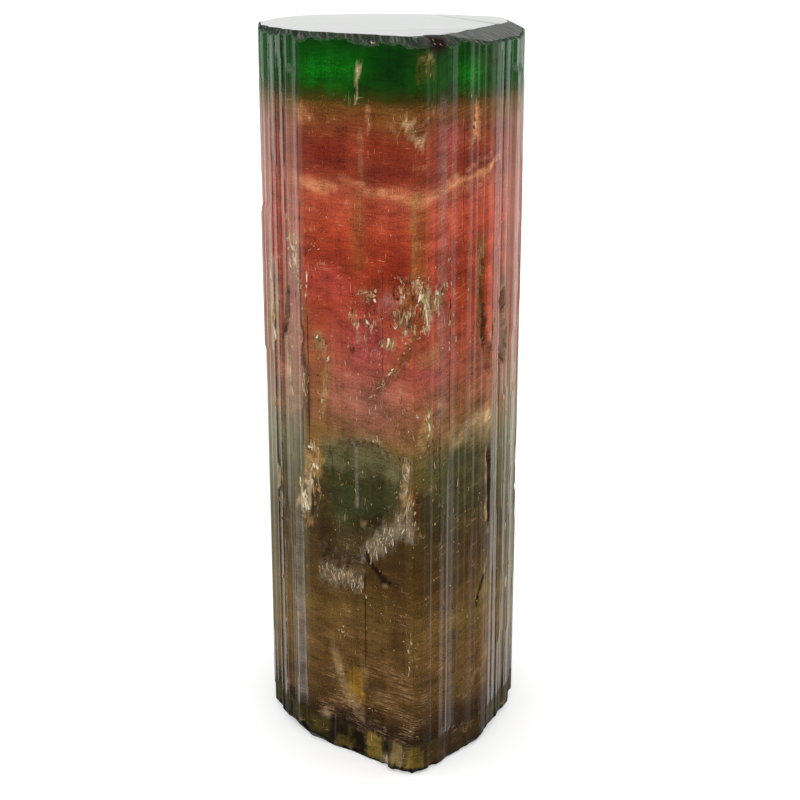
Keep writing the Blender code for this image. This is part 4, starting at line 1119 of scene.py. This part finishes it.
# The stone's loose flakes: slivers of its own skin that stand up along the cracks, in the
# crushed places and at the rim. They are cream-coloured, or golden where iron stained them.
# Each row is how many, the two ends of the line that they lie along, how far they stray
# from it, their widest, their longest, how they lean in degrees and how pale they are.
FLAKES = (
    # across the red part
    (20, 0.8, 41.2, 2.2, 40.2, 0.7, 0.32, 1.7, 4, 0.8), (12, 0.7, 41, 1, 38.6, 0.25, 0.28, 2, 2, 0.9),
    (8, 3.5, 41.6, 2.2, 40.2, 0.15, 0.22, 1, -25, 0.8), (11, -5.3, 40.6, -3.5, 40.4, 0.3, 0.4, 0.7, 65, 0.7),
    (16, -1.5, 38.4, -0.3, 39.6, 0.5, 0.26, 1.5, 5, 0.85), (8, -1.2, 41.8, -0.4, 42.2, 0.5, 0.22, 1.1, 5, 0.55),
    (10, -4.7, 36.6, -4.4, 38.8, 0.25, 0.2, 1.4, -10, 0.85), (10, -3, 36.8, -1.8, 36.9, 0.3, 0.28, 1.1, 10, 0.9),
    (6, -6.1, 38.9, -5.3, 37.8, 0.12, 0.18, 0.6, 30, 0.7), (34, 0.1, 37.8, -4, 32.2, 0.24, 0.24, 0.7, 38, 0.75),
    (8, -9.4, 36.4, -8.3, 35.6, 0.35, 0.4, 0.8, 20, 0.75), (14, -12.1, 44.6, -11.6, 42, 0.3, 0.26, 1.8, 0, 0.9),
    (5, -10.2, 42.2, -10.2, 40.4, 0.1, 0.2, 1.4, 0, 0.95), (6, 3.6, 38.4, 3.65, 36, 0.08, 0.15, 1.5, 0, 0.85),
    (14, 7.15, 43.4, 7.45, 35.4, 0.07, 0.15, 1.7, 0, 0.55), (10, -16.8, 41, -15.4, 35, 0.4, 0.4, 2.4, 0, 0.75),
    (3, 6.5, 54.3, 6.45, 52.8, 0.08, 0.42, 1.5, -8, 0.5), (6, -0.6, 53.9, 0.6, 52.6, 0.35, 0.22, 0.5, 50, 0.7),
    (3, -4.1, 54.1, -4, 53.4, 0.04, 0.15, 0.6, 0, 0.7), (1, 1.3, 40.1, 1.3, 40.1, 0, 0.9, 2.4, 0, 0.8),
    (1, 2.4, 40.8, 2.4, 40.8, 0, 1.1, 1.6, -15, 0.75), (1, -4.6, 40.6, -4.6, 40.6, 0, 0.6, 1.2, 70, 0.75),
    (1, -0.9, 39.4, -0.9, 39.4, 0, 0.7, 2, 5, 0.7),
    # green cap and rim
    (5, -5, 57.8, -5.1, 57, 0.06, 0.18, 0.6, 8, 0.95), (4, 0.5, 58.7, 1.4, 57.5, 0.25, 0.1, 0.35, 0, 0.55),
    (5, 1.6, 59.6, 3.4, 59.2, 0.25, 0.18, 0.3, 30, 0.95), (4, -4, 59.5, -3.2, 59.4, 0.2, 0.2, 0.3, 0, 0.95),
    # around the recess
    (10, -10.8, 33.4, -10.8, 30, 0.15, 0.22, 1.5, 0, 0.9), (18, -8.2, 34.8, -9, 29.6, 0.25, 0.2, 1.2, 8, 0.75),
    (8, 1.2, 31.8, 1.2, 29.4, 0.25, 0.5, 1.4, 0, 0.7), (7, 4.5, 28.9, 9.2, 29.6, 0.4, 0.4, 0.8, 70, 0.6),
    (22, -10, 27.6, -9.6, 23.2, 0.4, 0.5, 1.5, 3, 0.85), (16, -11.6, 23.6, -10.9, 20.8, 0.3, 0.4, 2, 3, 0.85),
    (7, -15.9, 24.6, -15.4, 22.2, 0.35, 0.5, 1.2, 0, 0.65), (30, -0.9, 27.4, -0.8, 21.6, 0.3, 0.13, 1.9, 1, 0.95),
    (56, -0.4, 22.4, -4.6, 18.8, 0.6, 0.13, 0.8, 8, 1), (10, 0.2, 24.6, 0.2, 22, 0.15, 0.22, 1.2, 2, 0.5),
    (3, -2.1, 25, -1.9, 24.2, 0.1, 0.2, 0.6, 15, 0.9), (3, -5.4, 21, -4.9, 21.3, 0.08, 0.16, 0.5, 60, 0.9),
    (2, 1.5, 22.1, 2.5, 22, 0.05, 0.22, 0.26, 0, 1), (4, -4.6, 28.8, -3.4, 28.6, 0.12, 0.22, 0.4, 60, 0.85),
    (4, -13, 34, -12.7, 31, 0.1, 0.22, 1.2, 0, 0.85), (7, 9.9, 44, 9.6, 30, 0.2, 0.14, 1.1, 0, 0.75),
    (44, -9.4, 35, -1, 31, 2.6, 0.08, 1, 0, 0.7), (26, -2, 31, 3.6, 28.6, 1.5, 0.08, 0.9, 0, 0.7),
    (24, -12.6, 47, -11.2, 30, 0.8, 0.1, 1, 0, 0.9), (20, 1, 43, 8.6, 34, 2.2, 0.07, 0.8, 0, 0.65),
    (18, -8, 26, -2, 22, 1.6, 0.07, 0.6, 0, 0.8), (16, 0.5, 26, 7, 22, 2, 0.07, 0.9, 0, 0.6),
    (16, -16.6, 40, -14, 10, 0.8, 0.1, 1, 0, 0.85), (16, 10.4, 50, 14, 12, 1.2, 0.1, 1.2, 0, 0.9),
    (4, -9.7, 25.9, -10.1, 24.8, 0.2, 1.5, 2.8, 10, 0.8), (4, -11.3, 22.9, -10.8, 21.6, 0.1, 0.9, 3.2, -8, 0.9),
    (3, -10.25, 24, -10.3, 22.8, 0.05, 0.45, 2.6, 4, 1), (12, -9.4, 43.4, -6.8, 41.4, 0.6, 0.09, 0.5, 55, 0.8),
    (3, -9.9, 46.7, -8.5, 46.2, 0.05, 0.12, 0.9, 75, 0.9), (14, -12.2, 43.6, -11.2, 40, 0.5, 0.3, 0.9, 0, 0.95),
    # lower part and foot
    (28, -9, 12, 8, 12, 3, 0.08, 0.7, 0, 0.65), (20, -8, 5, 1, 5, 1.4, 0.1, 0.4, 80, 0.8),
    (46, -9.2, 16.3, -5, 16.1, 0.7, 0.12, 0.8, 0, 1), (7, 7.3, 13.4, 8.8, 17, 0.1, 0.14, 0.8, -20, 0.5),
    (5, -7.2, 11.8, -6.9, 10.8, 0.15, 0.28, 0.8, 10, 0.7), (8, -0.4, 12.6, -0.3, 9, 0.12, 0.15, 0.8, 0, 0.85),
    (4, -8, 9, -7.6, 7.6, 0.25, 0.28, 0.8, 20, 0.6), (3, -2.6, 1.1, -2.5, 0.6, 0.06, 0.25, 0.6, 0, 0.95),
    # loose specks over the front and the back
    (110, -9, 40, 9, 40, 7, 0.08, 0.18, 0, 1), (90, -9, 19, 9, 19, 8, 0.08, 0.18, 0, 0.9),
    (60, 28, 40, 44, 24, 9, 0.08, 0.18, 0, 0.85),
    # the scars at the sides and on the back
    (20, 28.6, 18, 31, 25, 0.6, 0.4, 1.3, 0, 0.75), (20, 35.4, 36, 37.8, 42, 0.7, 0.4, 1.2, 0, 0.75),
    (8, 21.4, 39, 21.6, 45, 0.2, 0.3, 1.2, 0, 0.7), (8, 45, 31, 45.6, 38, 0.2, 0.3, 1.2, 0, 0.7),
    (8, 51, 12, 50.8, 21, 0.2, 0.3, 1.2, 0, 0.7), (8, 18.2, 21, 18, 30, 0.2, 0.3, 1.2, 0, 0.7),
)
FLAKE_SIDES = 9
FLAKE_SUNK = 0.06
FLAKE_LIFT, MORE_LIFT = 0.02, 0.05
TOP_SPREAD = 0.82
LEAST_REACH, MOST_REACH = 0.35, 1.25
SMALLEST, MORE_SIZE = 0.25, 0.85
STRAY_SPREAD = 0.6
LEAN_SPREAD = 9.0
MOST_TILT = 0.03
TINT_DROP, TINT_SPREAD = 0.22, 0.24
LOWEST_MIDDLE, HIGHEST_MIDDLE = 1.0, HEIGHT - 0.3
LOWEST_POINT, HIGHEST_POINT = 0.6, HEIGHT - 0.05
flake_chance = random.Random(51)


def on_side(across, up):
    """Point of the stone's side at a place, in millimetres, and its outward direction."""
    column = float(np.interp((across - SEAM) % GIRTH + SEAM, columns, np.arange(len(columns))))
    row = float(np.interp(up, rows, np.arange(len(rows))))
    c = min(int(column), len(columns) - 2)
    r = min(int(row), len(rows) - 2)
    u, v = column - c, row - r
    place = []
    for layer in (wall_x, wall_y, heights):
        low = layer[r, c] * (1 - u) + layer[r, c + 1] * u
        high = layer[r + 1, c] * (1 - u) + layer[r + 1, c + 1] * u
        place.append(low * (1 - v) + high * v)
    return np.array(place), np.array((outward[c][0], outward[c][1], 0.0))


flake_points = []
flake_faces = []
flake_tints = []
for count, start_s, start_z, end_s, end_z, stray, widest, longest, lean, paleness in FLAKES:
    for _ in range(count):
        share = flake_chance.random()
        middle_s = start_s + (end_s - start_s) * share + stray * flake_chance.gauss(0.0, STRAY_SPREAD)
        middle_z = start_z + (end_z - start_z) * share + stray * flake_chance.gauss(0.0, STRAY_SPREAD)
        middle_z = min(max(middle_z, LOWEST_MIDDLE), HIGHEST_MIDDLE)
        half_width = widest * (SMALLEST + MORE_SIZE * flake_chance.random() ** 2.2) / 2
        half_length = longest * (SMALLEST + MORE_SIZE * flake_chance.random() ** 2.0) / 2
        angle = math.radians(lean + LEAN_SPREAD * flake_chance.gauss(0.0, 1.0))
        lift = FLAKE_LIFT + MORE_LIFT * flake_chance.random()
        tilt = flake_chance.uniform(-MOST_TILT, MOST_TILT)
        tint = min(1.0, max(0.0, paleness - TINT_DROP + TINT_SPREAD * flake_chance.gauss(0.0, 1.0)))
        turn = flake_chance.random()
        first = len(flake_points)
        for level, spread in ((-FLAKE_SUNK, 1.0), (lift, TOP_SPREAD)):
            jitter = random.Random(first)
            for n in range(FLAKE_SIDES):
                round_by = 2 * math.pi * (n + turn) / FLAKE_SIDES
                reach = spread * jitter.uniform(LEAST_REACH, MOST_REACH)
                across = half_width * reach * math.cos(round_by)
                upward = half_length * reach * math.sin(round_by)
                s = middle_s + across * math.cos(angle) + upward * math.sin(angle)
                z = middle_z - across * math.sin(angle) + upward * math.cos(angle)
                place, away = on_side(s, min(max(z, LOWEST_POINT), HIGHEST_POINT))
                raised = level + (tilt * upward / half_length if level > 0 else 0.0)
                flake_points.append(tuple((place + away * raised) * MM))
                flake_tints.append(tint)
        top_first = first + FLAKE_SIDES
        flake_faces.append(tuple(top_first + n for n in range(FLAKE_SIDES)))
        flake_faces.append(tuple(first + FLAKE_SIDES - 1 - n for n in range(FLAKE_SIDES)))
        for n in range(FLAKE_SIDES):
            m = (n + 1) % FLAKE_SIDES
            flake_faces.append((first + n, first + m, top_first + m, top_first + n))
flake_mesh = bpy.data.meshes.new("crystal_flakes")
flake_mesh.from_pydata(flake_points, [], flake_faces)
flake_mesh.update()
keep_values(flake_mesh, "tint", "FLOAT", flake_tints)

loose_skin, skin = start_material("loose_skin")
skin_point = skin.node("ShaderNodeTexCoord", {}, {}).outputs["Object"]
MOTTLES_A_METRE = 4200.0
mottled = skin.node("ShaderNodeTexNoise", {}, {"Vector": skin_point, "Scale": MOTTLES_A_METRE, "Detail": 3.0})
mottle = Value(skin, mottled.outputs[0])
tint = skin.kept("tint") + (mottle - 0.5) * 0.5
TINTS = ((0.0, 78, 48, 20), (0.3, 150, 106, 54), (0.55, 182, 152, 104), (0.8, 204, 184, 146), (1.0, 226, 216, 194))
skin_surface = skin.principled({
    "Base Color": skin.ramp(TINTS, tint),
    "Roughness": mottle * 0.3 + 0.45,
    "IOR": TOURMALINE_IOR,
    "Specular IOR Level": 0.3,
    "Normal": skin.fine_relief(mottle),
})
skin.node("ShaderNodeOutputMaterial", {}, {"Surface": skin_surface})
flake_mesh.materials.append(loose_skin)
flakes_piece = set_down("crystal_flakes", flake_mesh)
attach(flakes_piece, "root")

# The floor: a white sheet that runs on past the picture's edges
FLOOR_SIZE = 4.0
PAPER_WHITE = (0.88, 0.88, 0.88, 1.0)
PAPER_GLOW = 0.38
bpy.ops.mesh.primitive_plane_add(size=FLOOR_SIZE, location=(0.0, 0.0, 0.0))
floor = bpy.context.active_object
floor.name = "white_sheet"
paper, sheet = start_material("white_paper")
sheet_surface = sheet.principled({
    "Base Color": PAPER_WHITE,
    "Roughness": DULL,
    "Specular IOR Level": 0.0,
    "Emission Color": (1.0, 1.0, 1.0, 1.0),
    "Emission Strength": PAPER_GLOW,
})
sheet.node("ShaderNodeOutputMaterial", {}, {"Surface": sheet_surface})
floor.data.materials.append(paper)
floor.visible_glossy = False

# The light: a soft white room, dim on the camera's side, with a bright low band all
# round that the flat top reflects
room = bpy.data.worlds.new("soft_room")
bpy.context.scene.world = room
room.use_nodes = True
glow = Finish(room.node_tree)
facing = glow.node("ShaderNodeTexCoord", {}, {}).outputs["Generated"]
facing_parts = glow.node("ShaderNodeSeparateXYZ", {}, {"Vector": facing})
back = Value(glow, facing_parts.outputs["Y"])
up = Value(glow, facing_parts.outputs["Z"])
path = glow.node("ShaderNodeLightPath", {}, {})
band = up.rise(0.02, 0.05) * up.rise(0.19, 0.12)
mirrored = (
    back.rise(0.10, 0.38) * up.rise(0.05, -0.02) * 0.95 + band + up.rise(0.0, 0.2) * 0.25
    + up.rise(0.4, 0.7) * 0.8 + 0.03
)
glossy = Value(glow, path.outputs["Is Glossy Ray"])
passing = Value(glow, path.outputs["Is Transmission Ray"])
reflecting = glossy * (1 - passing)
strength = mirrored * reflecting + (1 - reflecting)
backdrop = glow.node("ShaderNodeBackground", {}, {"Color": (1.0, 1.0, 1.0, 1.0), "Strength": strength})
glow.node("ShaderNodeOutputWorld", {}, {"Surface": backdrop.outputs[0]})

# The camera, where the photograph was taken from: a little above the crystal and to the
# right, looking down on its front corner
CAMERA_PLACE = (5.71 * MM, -126.05 * MM, 69.05 * MM)
CAMERA_TILT = math.radians(90.0 - 17.74)
CAMERA_TURN = math.radians(2.22)
LENS = 69.69
SENSOR = 36.0
NEAREST = 0.005
camera = bpy.data.cameras.new("camera")
camera.lens = LENS
camera.sensor_width = SENSOR
camera.clip_start = NEAREST
viewer = set_down("camera", camera)
viewer.location = CAMERA_PLACE
viewer.rotation_euler = (CAMERA_TILT, 0.0, CAMERA_TURN)
bpy.context.scene.camera = viewer
bpy.context.scene.view_settings.view_transform = "Standard"
